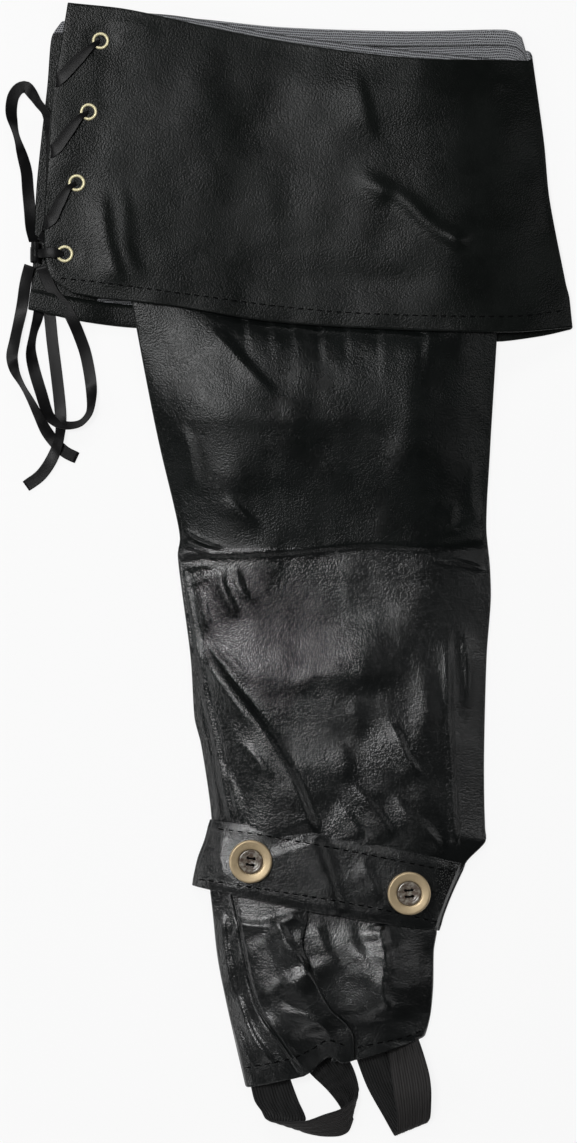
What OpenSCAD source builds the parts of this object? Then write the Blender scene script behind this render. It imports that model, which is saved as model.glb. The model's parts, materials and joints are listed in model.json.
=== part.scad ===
// Costume boot top: a leather-look leg cover with a laced, turned-down cuff, an ankle
// band with two buttons, a foot flap and two elastic stirrups.  It lies flat on its
// back: +Z up, +Y towards the cuff, origin in the middle of its footprint.

/* [Lengths along the leg] */
// From the packing crease up to the top corner of the cuff
upper_h = 289; // [260:1:330]
// From the packing crease down to the ankle band
lower_h = 144.5; // [120:1:180]
// Height of the ankle band at its ends
strap_w = 35.6; // [30:0.5:42]
// From the ankle band down to the low corner of the foot flap
foot_h = 106.5; // [90:0.5:125]
// How far the elastic loops hang below that corner
stirrup_drop = 26.6; // [22:0.2:34]
// Height of the turned-down cuff at its laced side
cuff_h = 149; // [130:1:165]

/* [Widths laid flat] */
// Cuff across its top edge
cuff_top_w = 244.4; // [225:0.2:262]
// Cuff across its hem
cuff_hem_w = 287.8; // [268:0.2:306]
// Leg where it comes out under the cuff
leg_hem_w = 192.4; // [180:0.2:205]
// Leg at the packing crease
crease_w = 161.7; // [152:0.1:172]
// Leg at its widest just above the ankle band
calf_end_w = 145.4; // [138:0.2:152]
// Ankle band from end to end
strap_len = 136.8; // [128:0.2:144]
// Foot flap across its hem
hem_w = 95.4; // [88:0.2:102]

/* [Sheets] */
// Leather-look fabric with its knitted backing
sheet_t = 1; // [0.8:0.1:1.3]
// Turned-up hem, all layers
hem_t = 2.8; // [2.6:0.1:3.4]
// Depth of the turned-up hem
hem_d = 10; // [7:0.5:14]
// Air between front and back of the leg inside the cuff
leg_rise = 9; // [7.5:0.5:10]
// Air between front and back of the lower leg
calf_rise = 11; // [9:0.5:13]
// Air inside the foot flap
foot_rise = 8; // [7:0.5:10]
// Space under the cuff's back for the lace and the eyelet rims
lace_room = 1.8; // [1.8:0.1:2.4]

/* [Lacing] */
// Distance between eyelets along the row
eyelet_pitch = 38.2; // [34:0.2:39]
// Radius of the eyelet's rim
eyelet_r = 4.6; // [4:0.1:5.2]
// Radius of the hole through the eyelet
eyelet_hole_r = 3; // [2.6:0.1:3.3]
// Thickness of the eyelet's rim
eyelet_rim_t = 0.8; // [0.6:0.1:1]
// Width of the satin ribbon
ribbon_w = 6; // [5:0.5:7]
// Thickness of the ribbon
ribbon_t = 0.5; // [0.4:0.1:0.6]

/* [Buttons] */
// Outer radius of the metal rim
button_r = 11.5; // [10:0.1:13]
// Radius of the four-hole insert
insert_r = 6.4; // [5.6:0.1:7.2]
// Height of the rim
button_t = 3.4; // [3:0.1:4.2]
// Distance of the left button from the band's left end
button_left_d = 26.2; // [20:0.2:30]
// Distance of the right button from the band's right end
button_right_d = 23.7; // [22:0.2:32]

/* [Elastic] */
// Width of the stirrup elastic
elastic_w = 20; // [16:0.5:21]
// Thickness of the stirrup elastic
elastic_t = 1.2; // [1:0.1:1.4]

/* [Hidden] */
$fn = 48;

leather = "#17171a";
satin = "#0c0c0e";
brass = "#b39a5e";
horn = "#3a342f";

clear = 0.3;          // running gap between bodies
seam_gap = 0.1;       // gap between sheets that are sewn together
thread_r = 0.45;

// Heights of the main lines at the left edge, with the origin halfway up
total_h = upper_h + lower_h + strap_w + foot_h + stirrup_drop;
y_top = total_h / 2;
y_crease = y_top - upper_h;
y_strap = y_crease - lower_h;
y_foot = y_strap - strap_w;
y_hem = y_foot - foot_h;
y_cuff_hem = y_top - cuff_h;

// The ankle band is tilted, and its two ends lean over
strap_tilt = -10.06;
strap_left_x = -46.6;
strap_lean_left = -9.5;
strap_lean_right = -13.8;
strap_dir = [cos(strap_tilt), sin(strap_tilt)];
strap_left = [strap_left_x, y_strap];
strap_right = strap_left + strap_len * strap_dir;
band_left = [strap_left_x + strap_lean_left, y_foot];
band_right = strap_right + [strap_lean_right, -strap_w];

// Levels: what lies on what, from the floor up
cuff_back_z = lace_room;
leg_back_z = cuff_back_z + sheet_t + 0.4;
leg_front_z = leg_back_z + sheet_t + seam_gap;
margin_z = leg_front_z + sheet_t + 2.7;
cuff_side_z = cuff_back_z + sheet_t + seam_gap;

// The columns of every sheet, as shares of its width, closer at the edges
ACROSS = [0, 0.02, 0.05, 0.1, 0.15, 0.21, 0.28, 0.38, 0.5, 0.62, 0.72, 0.8, 0.87, 0.93, 0.97, 1];

function ramp(s) = s <= 0 ? 0 : s >= 1 ? 1 : s * s * (3 - 2 * s);
function rounding(s) = s <= 0 ? 0 : s >= 1 ? 1 : sin(90 * s);
// Swell of a front sheet over its width.  flat > 0 keeps that share of it flat at the
// left, flat = 0 rounds both sides, and flat < 0 makes both sides steep
function swell(u, flat) = flat < 0
    ? pow(rounding(4 * u) * rounding(4 - 4 * u), 0.6)
    : (flat > 0 ? ramp((u - flat) / 0.28) : rounding(4 * u)) * rounding(4 - 4 * u);

// A row across a sheet: its end points, how far its middle sags down the leg, the level
// of its underside at the left and right edge, its rise and its flat left margin
function row(left, right, sag, z_left, z_right, rise, flat) =
    [left, right, sag, z_left, z_right, rise, flat];
function at(r, u, lift) = let (p = r[0] * (1 - u) + r[1] * u)
    [p.x, p.y - r[2] * 4 * u * (1 - u),
        r[4] + (r[3] - r[4]) * (1 - ramp(2.5 * (u - 0.1))) + r[5] * swell(u, r[6]) + lift];
function grid(rows, lift) = [for (r = rows) [for (u = ACROSS) at(r, u, lift)]];
// The same between two lines that run down the sheet, given as shares for each row
function strip(rows, from, to, lift) = [for (i = [0:len(rows) - 1])
    [for (u = ACROSS) at(rows[i], from[i] + (to[i] - from[i]) * u, lift)]];

// A closed solid between an upper and a lower grid of points
module sheet(face, under) {
    n = len(face);
    m = len(face[0]);
    low = n * m;
    points = concat([for (r = face) each r], [for (r = under) each r]);
    top = [for (i = [0:n - 2]) for (j = [0:m - 2]) let (a = i * m + j)
        each [[a, a + m + 1, a + m], [a, a + 1, a + m + 1]]];
    bottom = [for (f = top) [f[0] + low, f[2] + low, f[1] + low]];
    rim = concat([for (j = [0:m - 1]) j], [for (i = [1:n - 1]) i * m + m - 1],
        [for (j = [m - 2:-1:0]) (n - 1) * m + j], [for (i = [n - 2:-1:1]) i * m]);
    side = [for (k = [0:len(rim) - 1]) let (a = rim[k], b = rim[(k + 1) % len(rim)])
        each [[a, a + low, b + low], [a, b + low, b]]];
    polyhedron(points, concat(top, bottom, side), convexity = 6);
}
module cloth(rows, thick) sheet(grid(rows, thick), grid(rows, 0));

// A flat band that follows a path, with its own width across it at each point
function unit(v) = v / norm(v);
function flipped(faces) = [for (f = faces) [f[0], f[2], f[1]]];
module band(path, across, thick) {
    n = len(path);
    ring = [for (i = [0:n - 1]) let (
        along = path[min(i + 1, n - 1)] - path[max(i - 1, 0)],
        up = unit(cross(along, across[i])) * thick / 2,
        side = across[i] / 2)
        each [path[i] - side - up, path[i] + side - up, path[i] + side + up, path[i] - side + up]];
    walls = [for (i = [0:n - 2]) for (k = [0:3]) let (a = 4 * i + k, b = 4 * i + (k + 1) % 4)
        each [[a, b, b + 4], [a, b + 4, a + 4]]];
    last = 4 * (n - 1);
    ends = [[0, 2, 1], [0, 3, 2], [last, last + 1, last + 2], [last, last + 2, last + 3]];
    polyhedron(ring, flipped(concat(walls, ends)), convexity = 6);
}
// A free ribbon: an eight-sided flat tube along its route, lying level
module ribbon(route) {
    n = len(route);
    k = 8;
    ring = [for (i = [0:n - 1]) let (
        along = route[min(i + 1, n - 1)] - route[max(i - 1, 0)],
        side = unit([-along.y, along.x, 0]) * ribbon_w / 2,
        up = [0, 0, ribbon_t / 2])
        for (a = [0:k - 1]) route[i] + side * cos(360 * a / k + 22.5) / cos(22.5)
            + up * sin(360 * a / k + 22.5) / sin(67.5)];
    walls = [for (i = [0:n - 2]) for (a = [0:k - 1]) let (p = k * i + a, q = k * i + (a + 1) % k)
        each [[p, q, q + k], [p, q + k, p + k]]];
    last = k * (n - 1);
    ends = [for (a = [1:k - 2]) each [[0, a + 1, a], [last, last + a, last + a + 1]]];
    polyhedron(ring, flipped(concat(walls, ends)), convexity = 8);
}

// ---- The leg: one tube of front and back sheets, packed with a crease across it ----
top_x = -0.5;             // middle of the cuff's top edge
top_slope = 30.2;         // the front's top edge falls this far to the right
front_top = [[top_x - cuff_top_w / 2, y_top], [top_x + cuff_top_w / 2, y_top - top_slope]];
leg_top = [front_top[0] + [4, -3.5], front_top[1] + [-9, -3]];
back_top = [[-126.4, y_top - 9], [117, y_top - 15.8]];
leg_back_top = [back_top[0] + [9, -2], back_top[1] + [-3.5, -2]];
leg_hem_x = 8;
leg_hem = [[leg_hem_x - leg_hem_w / 2, y_cuff_hem - 10], [leg_hem_x + leg_hem_w / 2, y_cuff_hem - 29.1]];
crease_x = 18;
crease = [[crease_x - crease_w / 2, y_crease + clear / 2], [crease_x + crease_w / 2, y_crease + clear / 2]];
crease_rise = 6;
calf_end_right = 98.9;
calf_end = [[calf_end_right - calf_end_w, y_strap + 6.7], [calf_end_right, y_strap - 10.6]];
under_strap = [[strap_left + [3, 0], strap_right + [-4.5, 0.8]],
    [band_left + [11.6, -0.7], band_right + [-4.8, 1]]];
strap_rise = 9.8;
ankle_rise = strap_rise - sheet_t - clear - 1.5;
margin = 0.1;             // share of the leg's width that stays flat under the eyelets

// A row between two lines across the leg
function between(a, b, f, left, right, sag, lift, rise, flat) =
    row(a[0] * (1 - f) + b[0] * f + [left, 0], a[1] * (1 - f) + b[1] * f + [right, 0],
        sag, lift, lift, rise, flat);
// Each row: share of the way, bulge at the left and right edge, sag, level, rise, flat share
function rows_of(a, b, list) = [for (r = list) between(a, b, r[0], r[1], r[2], r[3], r[4], r[5], r[6])];
function raised(list, h) = [for (r = list) [r[0], r[1], r[2], r[3], r[4] + h, r[5], r[6]]];
function laid_flat(list) = [for (r = list) [r[0], r[1], r[2], r[3], r[4], 0, 0]];
// The back's top edge sags less than the front's
back_sag = 1;
function straighter(list) = [for (r = list) [r[0], r[1], r[2], back_sag * (1 - r[0]) + r[3] * r[0],
    r[4], r[5], r[6]]];

IN_CUFF = [[0, 0, 0, 7.3, leg_back_z, leg_rise, margin], [0.33, 0, 0, 6, leg_back_z, leg_rise, margin],
    [0.66, 0, 0, 4, leg_back_z, leg_rise, margin], [1, 0, 0, 3, leg_back_z, leg_rise, margin]];
ABOVE_CREASE = [[0.2, 0, 0, 2, leg_back_z * 0.7, leg_rise + 1, 0.05],
    [0.45, 0, 0, 1, leg_back_z * 0.25, leg_rise + 1, 0.02],
    [0.7, 0, 0, 0, 0, leg_rise, 0], [0.88, 0, 0, 0, 0, leg_rise - 1, 0], [1, 0, 0, 0, 0, crease_rise, 0]];
BELOW_CREASE = [[0, 0, 0, 0, 0, crease_rise, 0], [0.08, -0.8, 1.2, 0, 0, leg_rise - 1, 0],
    [0.2, -1.3, 2, 0, 0, calf_rise - 1, 0], [0.42, -0.9, 0, 0, 0, calf_rise, 0],
    [0.66, -2.7, -1.1, 0, 0, calf_rise, 0], [0.88, -0.4, -1.2, -1, 0, calf_rise, 0],
    [1, 0, 0, -2, 0.6, calf_rise - 1, 0]];
strap_under = sheet_t + 2 * seam_gap;
UNDER_STRAP = [[0, 0, 0, -3.7, strap_under, ankle_rise, 0], [1, 0, 0, 1, strap_under, ankle_rise - 1, 0]];

crease_low = [for (p = crease) p - [0, clear]];
function leg_upper(top, h, list1, list2) = concat(rows_of(top, leg_hem, raised(list1, h)),
    rows_of(leg_hem, crease, raised(list2, h)));
function leg_lower(h, list1, list2) = concat(rows_of(crease_low, calf_end, raised(list1, h)),
    rows_of(under_strap[0], under_strap[1], raised(list2, h)));
over = sheet_t + seam_gap;
module leg_front_upper() color(leather) 
    cloth(leg_upper(leg_top, over, IN_CUFF, ABOVE_CREASE), sheet_t);
module leg_back_upper() color(leather)
    cloth(leg_upper(leg_back_top, 0, straighter(laid_flat(IN_CUFF)), laid_flat(ABOVE_CREASE)), sheet_t);
module leg_front_lower() color(leather) cloth(leg_lower(over, BELOW_CREASE, UNDER_STRAP), sheet_t);
module leg_back_lower() color(leather)
    cloth(leg_lower(0, laid_flat(BELOW_CREASE), laid_flat(UNDER_STRAP)), sheet_t);

// ---- The cuff: sewn on along the top edge, turned down, open and laced at the left ----
cuff_rise = leg_rise + 4;
cuff_margin = 0.1;
front_hem = [[-cuff_hem_w / 2 + 4.5, y_cuff_hem], [cuff_hem_w / 2, y_cuff_hem - 21.8]];
hem_share = 1 - hem_d / cuff_h;
// Share of the way down, bulge at the left edge, sag, rise
CUFF_FRONT = [[0, 0, 7.3, cuff_rise - 1.2], [0.16, -1.6, 6.5, cuff_rise], [0.32, -3.1, 6, cuff_rise],
    [0.51, -1.5, 5.5, cuff_rise], [0.74, 0, 5.5, cuff_rise], [0.88, 2.2, 6.5, cuff_rise],
    [hem_share, 4, 7.3, cuff_rise], [hem_share + 0.004, 4, 7.3, cuff_rise], [1, 8.4, 8, cuff_rise]];
function cuff_front_rows() = [for (r = CUFF_FRONT) row(
    front_top[0] * (1 - r[0]) + front_hem[0] * r[0] + [r[1], 0],
    front_top[1] * (1 - r[0]) + front_hem[1] * r[0], r[2], margin_z, cuff_side_z, r[3], cuff_margin)];
back_hem = [[-cuff_hem_w / 2, y_cuff_hem - 12.1], [cuff_hem_w / 2, y_cuff_hem - 22.7]];
// Share of the way down, bulge at the left edge (pinched in at the knot), at the right, sag
CUFF_BACK = [[0, 0, 0, 1], [0.1, -3, 2.3, 2], [0.25, -4, 2, 4], [0.41, -3.5, 1.4, 5], [0.59, -2.5, 0, 6],
    [0.73, 2.1, 0, 7], [0.81, 5.4, 0, 8], [0.89, 3.4, 0, 8.5], [0.93, 2, 0, 9], [0.934, 2, 0, 9],
    [1, 0, 0, 9]];
function cuff_back_rows() = [for (r = CUFF_BACK) row(
    back_top[0] * (1 - r[0]) + back_hem[0] * r[0] + [r[1], 0],
    back_top[1] * (1 - r[0]) + back_hem[1] * r[0] + [r[2], 0], r[3], cuff_back_z, cuff_back_z, 0, 0)];
// The turned-up hem is thicker: its rows reach lower
function hemmed(points, first, depth, from, to) = [for (i = [0:len(points) - 1])
    [for (j = [0:len(ACROSS) - 1]) let (p = points[i][j], u = ACROSS[j])
        i >= first && u > from && u < to ? [p.x, p.y, p.z - depth] : p]];
module cuff_front() color(leather) difference() {
    rows = cuff_front_rows();
    sheet(grid(rows, sheet_t), hemmed(grid(rows, 0), len(rows) - 2, hem_t - 2 * sheet_t, 0.16, 0.9));
    at_eyelets(margin_z - 1) cylinder(r = barrel_r + seam_gap, h = sheet_t + 2);
}
module cuff_back() color(leather) difference() {
    rows = cuff_back_rows();
    sheet(grid(rows, sheet_t), hemmed(grid(rows, 0), len(rows) - 2, cuff_back_z, 0.16, 1.01));
    at_eyelets(cuff_back_z - 1) cylinder(r = barrel_r + seam_gap, h = sheet_t + 2);
}

// ---- Eyelets: a rimmed barrel through the sheet, closed by a washer on the other side ----
eyelet_first = front_top[0] + [17.2, -20.1];
eyelet_dir = unit(front_hem[0] - front_top[0] + [-8, 2]);
barrel_r = eyelet_hole_r + 0.35;
washer_t = 0.35;
function eyelet(i) = eyelet_first + eyelet_dir * eyelet_pitch * i;
module at_eyelets(z) for (i = [0:3]) translate([eyelet(i).x, eyelet(i).y, z]) children();
module eyelet_body() rotate_extrude() polygon([[eyelet_hole_r, -sheet_t - 0.35], [barrel_r, -sheet_t - 0.35],
    [barrel_r, 0.05], [eyelet_r - 0.3, 0.05], [eyelet_r, 0.25], [eyelet_r - 0.25, eyelet_rim_t - 0.15],
    [eyelet_r - 0.8, eyelet_rim_t], [eyelet_hole_r + 0.45, eyelet_rim_t],
    [eyelet_hole_r, eyelet_rim_t - 0.5]]);
module washer() rotate_extrude() translate([barrel_r + 0.05, 0])
    square([eyelet_r - barrel_r - 0.25, washer_t]);
module eyelets_front() color(brass) at_eyelets(margin_z + sheet_t) eyelet_body();
module eyelets_back() color(brass) at_eyelets(cuff_back_z) rotate([180, 0, 0]) eyelet_body();
module washers_front() color(brass) at_eyelets(margin_z - washer_t - 0.05) washer();
module washers_back() color(brass) at_eyelets(cuff_back_z + sheet_t + 0.05) washer();

// ---- Lace: a flat ribbon that winds round the open edges from eyelet to eyelet ----
lace_top_z = margin_z + sheet_t + eyelet_rim_t + 0.15 + ribbon_t / 2;
lace_low_z = cuff_back_z - eyelet_rim_t - 0.15 - ribbon_t / 2;
stub_r = eyelet_hole_r - 1.2;
EDGE = [for (r = CUFF_BACK) let (p = back_top[0] * (1 - r[0]) + back_hem[0] * r[0]) [-p.y, p.x + r[1]]];
function edge_x(y) = lookup(-y, EDGE) - 1.3;
edge_share = 0.6;         // share of the drop made on the front before the ribbon turns under
module lace_wrap(a, b) {
    fold_y = a.y + (b.y - a.y) * edge_share;
    x = edge_x(fold_y);
    wide = ribbon_w * 1.3;
    path = [[a.x, a.y, lace_top_z], [a.x - 4, a.y - 3, lace_top_z], [x + 4, fold_y + 4, lace_top_z],
        [x + 1, fold_y + 1.5, lace_top_z - 0.6], [x, fold_y + 0.5, lace_top_z - 2],
        [x, fold_y - 0.5, lace_low_z + 1.6], [x + 1, fold_y - 1, lace_low_z + 0.4],
        [x + 4, fold_y - 2.5, lace_low_z], [b.x - 5, b.y + 2.5, lace_low_z], [b.x, b.y, lace_low_z]];
    widths = [3, 5, wide, wide, wide, wide, wide, wide, 5, 3];
    band(path, [for (w = widths) [0, w, 0]], ribbon_t);
}
knot = eyelet(3) + [-15.5, 0.4];
module lace() color(satin) {
    for (i = [0:2]) lace_wrap(eyelet(i), eyelet(i + 1));
    for (i = [1:3]) translate([eyelet(i).x, eyelet(i).y, lace_low_z - ribbon_t / 2])
        cylinder(r = stub_r, h = lace_top_z - lace_low_z + ribbon_t);
    // The first end is knotted behind its eyelet
    translate([eyelet(0).x, eyelet(0).y, 0]) {
        translate([0, 0, margin_z - 1.1]) cylinder(r = stub_r, h = lace_top_z - margin_z + 1.1);
        translate([0, 0, margin_z - 2.1]) cylinder(r = eyelet_hole_r + 0.8, h = 1.4);
    }
    band([[eyelet(3).x, eyelet(3).y, lace_top_z], [eyelet(3).x - 5, eyelet(3).y, lace_top_z],
        [-134, knot.y, lace_top_z], [-137, knot.y, lace_top_z - 0.8], [knot.x, knot.y, lace_top_z - 1.1]],
        [for (w = [3, 5, 5.5, 5, 4]) [0, w, 0]], ribbon_t);
}
module bow_knot() color(satin) hull() {
    for (y = [-3.6, 3.6]) translate([knot.x, knot.y + y, 6.4]) sphere(r = 2.2, $fn = 24);
    for (y = [-4, 4]) translate([knot.x, knot.y + y, 2.2]) sphere(r = 2, $fn = 24);
    translate([knot.x + 0.8, knot.y, 4.5]) sphere(r = 2.4, $fn = 24);
    translate([knot.x - 1.2, knot.y, 4.5]) sphere(r = 2.4, $fn = 24);
}
// Routes of the bow, from the knot outwards
LOOP_UPPER = [[-141, 174.8, 4], [-142.7, 182, 2], [-143.5, 191.5, 0.8], [-144.5, 202, 0.5],
    [-145.5, 213, 0.5], [-149, 225.5, 0.5], [-152, 236, 0.5], [-153.5, 244, 0.5], [-152.5, 252, 0.5],
    [-149.5, 256.5, 0.5], [-145.5, 257.5, 0.6], [-141.5, 253, 1.2], [-138.5, 248.5, 3], [-135, 244, 4.2],
    [-132.5, 236, 4.5], [-131.5, 222, 4.5], [-132, 205, 4.5], [-132.5, 190, 4.8], [-134.5, 179.5, 5],
    [-137, 174.9, 5]];
LOOP_LOWER = [[-136.6, 161.8, 4.5], [-135.3, 157, 3.8], [-133, 152, 3.5], [-130, 146.5, 3.4],
    [-124.5, 140.5, 3.4], [-120.5, 133, 3.3], [-117.5, 126, 2], [-114, 116, 0.8], [-111.5, 103.5, 0.5],
    [-110.5, 93, 0.5], [-111.5, 84, 0.8], [-116, 78.5, 1.5], [-122, 77, 1.9], [-128, 78, 1.9],
    [-133.5, 82.5, 1.5], [-137.5, 94.5, 1.2], [-141.5, 108, 1], [-143, 117, 0.9], [-141.5, 127, 0.9],
    [-139.5, 134, 1.25], [-138, 142, 1.25], [-137.5, 150, 1.25], [-138, 157, 1.25], [-138.8, 161.8, 1.3]];
TAIL_LEFT = [[-143.4, 162, 4.8], [-145, 156, 3.5], [-146.2, 150, 2.4], [-147.2, 143, 1.2], [-148.5, 136, 0.6],
    [-150, 129, 0.5], [-151.5, 122, 0.5], [-153, 114, 0.5], [-151.5, 107, 0.5], [-148, 100, 0.35],
    [-143, 91, 0.35], [-138.5, 82, 0.35], [-134.5, 74, 0.35], [-129.5, 67.5, 0.35], [-124.5, 63, 0.35],
    [-118.5, 60, 0.35]];
TAIL_CENTRE = [[-138, 161.6, 0.6], [-136.5, 156.5, 0.4], [-135, 148, 0.35], [-133, 136.5, 0.35],
    [-131.5, 122, 0.35], [-129.5, 106, 0.35], [-128, 93, 0.5], [-127, 82, 1], [-127, 75, 1.15], [-128.5, 67, 1.15],
    [-132.5, 58, 1], [-138, 50.5, 0.5], [-145.5, 45, 0.35]];
module bow_loop_upper() color(satin) ribbon(LOOP_UPPER);
module bow_loop_lower() color(satin) ribbon(LOOP_LOWER);
module bow_tail_left() color(satin) ribbon(TAIL_LEFT);
module bow_tail_centre() color(satin) ribbon(TAIL_CENTRE);

// ---- Ankle band and its buttons ----
function strap_rows(rise, flat) = [
    row(strap_left, strap_right, -3.7, over, over, rise, flat),
    row((strap_left + band_left) / 2, (strap_right + band_right) / 2, 0, over, over, rise, flat),
    row(band_left, band_right, 1.8, over, over, rise, flat)];
module ankle_strap_front() color(leather) cloth(strap_rows(strap_rise, -1), sheet_t);
module ankle_strap_back() color(leather)
    cloth([for (r = laid_flat(strap_rows(0, 0))) [r[0], r[1], r[2], 0, 0, 0, 0]], sheet_t);

thread_spread = 1.7;      // the four holes sit this far from the button's middle, each way
hole_r = 0.75;
button_z = over + strap_rise + sheet_t + clear;
left_share = button_left_d / strap_len;
right_share = 1 - button_right_d / strap_len;
left_up = 0.7;            // the buttons sit a little off the band's middle line
right_up = -1;
function button_place(u, up) = at(strap_rows(strap_rise, -1)[1], u, sheet_t)
    + [-up * strap_dir.y, up * strap_dir.x, 0];
module button_frame(u, up) translate([button_place(u, up).x, button_place(u, up).y, button_z]) children();
floor_t = 0.7;
insert_gap = 0.1;
insert_t = 0.9;           // in its dished middle
module button_rim() color(brass) rotate_extrude() polygon([[thread_spread * 2, 0], [button_r - 1.2, 0],
    [button_r - 0.3, 0.5], [button_r, 1.3], [button_r - 0.3, button_t - 0.7], [button_r - 1.1, button_t],
    [insert_r + 2.2, button_t - 0.2], [insert_r + 0.9, button_t - 0.6], [insert_r + insert_gap, button_t - 1.2],
    [insert_r + insert_gap, floor_t], [thread_spread * 2, floor_t]]);
module button_insert() color(horn) translate([0, 0, floor_t + insert_gap]) difference() {
    rotate_extrude() polygon([[0, 0], [insert_r, 0], [insert_r, 1.5], [insert_r - 0.8, 1.7],
        [insert_r - 2, insert_t + 0.2], [0, insert_t]]);
    for (x = [-1, 1], y = [-1, 1]) translate([x * thread_spread, y * thread_spread, -1])
        cylinder(r = hole_r, h = 4);
}
module button_thread(u) color(satin) {
    low = button_place(u, 0).z + clear - button_z;
    top = floor_t + insert_gap + insert_t + 0.15 + thread_r;
    for (x = [-1, 1], y = [-1, 1]) translate([x * thread_spread, y * thread_spread, low])
        cylinder(r = thread_r, h = top - low);
    for (y = [-1, 1]) translate([-thread_spread, y * thread_spread, top]) rotate([0, 90, 0])
        cylinder(r = thread_r, h = 2 * thread_spread);
}
module button_left_rim() button_frame(left_share, left_up) button_rim();
module button_left_insert() button_frame(left_share, left_up) button_insert();
module button_left_thread() button_frame(left_share, left_up) button_thread(left_share);
module button_right_rim() button_frame(right_share, right_up) button_rim();
module button_right_insert() button_frame(right_share, right_up) button_insert();
module button_right_thread() button_frame(right_share, right_up) button_thread(right_share);

// ---- Foot flap: a gore, a middle panel that laps over the right one, and the back ----
hem_tilt = 15.1;
hem_dir = [cos(hem_tilt), sin(hem_tilt)];
hem_corner = [-28.3, y_hem];
foot_top_drop = 1;
function band_low(u) = band_left * (1 - u) + band_right * u - [0, foot_top_drop];
foot_top = [band_low(0.07), band_low(0.985)];
foot_hem = [hem_corner, hem_corner + hem_w * hem_dir];
// Share of the way down, bulge at the left and right edge, sag, rise, flat share,
// and where the gore's seam and the lapped edge cross this row
FOOT = [[0, 0, 0, 1.8, foot_rise - 1.5, 0, 0.1, 0.36], [0.2, -1.5, 0.5, 1, foot_rise, 0, 0.11, 0.38],
    [0.4, -2.8, 1.2, 0, foot_rise, 0, 0.125, 0.42], [0.6, -2.3, 3.2, 0, foot_rise, 0, 0.145, 0.48],
    [0.78, -1.3, 3.5, 0, foot_rise, 0, 0.21, 0.55], [0.93, -0.5, 2.4, 1, foot_rise - 0.5, -1, 0.29, 0.61],
    [1, 0, 0, 1, foot_rise - 0.5, -1, 0.33, 0.64]];
function foot_rows(rise) = [for (r = FOOT) row(
    foot_top[0] * (1 - r[0]) + foot_hem[0] * r[0] + [r[1], 0],
    foot_top[1] * (1 - r[0]) + foot_hem[1] * r[0] + [r[2], 0], r[3],
    rise * over, rise * over, rise * r[4], rise * r[5])];
seam_at = [for (r = FOOT) r[6]];
lap_at = [for (r = FOOT) r[7]];
lap = 0.08;               // share of the width that is lapped
half_gap = 0.0006;
function lifted(points, first, h) = [for (line = points) [for (j = [0:len(line) - 1])
    line[j] + [0, 0, h * ramp((ACROSS[j] - first) / 0.25)]]];
module foot_panel(from, to, lapped) {
    face = strip(foot_rows(1), from, to, sheet_t);
    under = strip(foot_rows(1), from, to, 0);
    color(leather) sheet(lifted(face, 0.4, lapped), lifted(under, 0.4, lapped));
}
module foot_gore() foot_panel([for (s = seam_at) 0], [for (s = seam_at) s - half_gap], 0);
module foot_front_left() foot_panel([for (s = seam_at) s + half_gap], lap_at, sheet_t + 0.2);
module foot_front_right() foot_panel([for (s = lap_at) s - lap], [for (s = lap_at) 1], 0);
module foot_back() color(leather) cloth(foot_rows(0), sheet_t);

// ---- Elastic stirrups: their ends are sewn into the hem, and the loops swing on it ----
elastic_z = over + 0.05;
end_depth = 9;            // how deep the ends are sewn into the hem
swing_out = 1.9;          // the loops swing just below the hem, clear of its edge
module on_hem(z) translate([hem_corner.x, hem_corner.y, z]) rotate([0, 0, hem_tilt]) children();
left_a = 2.8;             // first end of the left loop, along the hem
left_b = 34.4;            // its other end
from = -swing_out - clear / 2;
function loop_depth(s) = (stirrup_drop + sin(hem_tilt) * s) / cos(hem_tilt);
loop_d = loop_depth(left_b + 5);
module stirrup_left() color(satin) on_hem(elastic_z) linear_extrude(elastic_t) polygon([
    [left_a, from], [left_a, -0.3 * loop_d], [left_a + 2.5, -0.45 * loop_d], [left_a + 8, -0.6 * loop_d],
    [left_a + 17, -0.76 * loop_d], [left_a + 28, -0.94 * loop_d], [left_b + 5, -loop_d],
    [left_b + 11, -0.97 * loop_d], [left_b + 16, -0.82 * loop_d], [left_b + elastic_w, -0.58 * loop_d],
    [left_b + elastic_w + 3, -0.4 * loop_d], [left_b + elastic_w + 1.5, -0.15 * loop_d],
    [left_b + elastic_w, from],
    [left_b, from], [left_b + 6.5, -0.36 * loop_d], [left_b + 10.5, -0.6 * loop_d],
    [left_a + elastic_w + 3, -0.66 * loop_d], [left_a + elastic_w + 1.5, -0.36 * loop_d], [left_a + elastic_w, from]]);
module elastic_end(s, w, z) translate([s, clear / 2 - swing_out, z])
    cube([w, end_depth + swing_out, elastic_t]);
module stirrup_left_ends() color(satin) on_hem(elastic_z) {
    elastic_end(left_a, elastic_w, 0);
    elastic_end(left_b, elastic_w, 0);
}
right_a = left_b + elastic_w + 6;
right_b = hem_w - elastic_w - 3;
right_low = (right_a + right_b) / 2;
right_d = loop_depth(right_low) - elastic_t / 2;
arch = 5.2;               // how far the upper strand bows up
module stirrup_right() color(satin) on_hem(elastic_z + elastic_t / 2) {
    low = right_low + elastic_w / 2;
    a = right_a + elastic_w / 2;
    b = right_b + elastic_w / 2;
    step = elastic_t + 0.15;
    path = [[a, from, 0], [a, -6, 0], [low - 1, -right_d + 8, 0], [low, -right_d + 1, 0.1],
        [low, -right_d, step / 2], [low, -right_d + 1, step - 0.1], [low + 0.5, -right_d + 7, step + 0.6],
        [low + 2, -right_d + 15, step + arch], [b - 2, -right_d + 25, step + arch], [b - 1, -12, step + 2.5],
        [b, -7, step], [b, from, step]];
    band(path, [for (p = path) [elastic_w, 0, 0]], elastic_t);
}
module stirrup_right_ends() color(satin) on_hem(elastic_z) {
    elastic_end(right_a, elastic_w, 0);
    elastic_end(right_b, elastic_w, elastic_t + 0.15);
}

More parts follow.
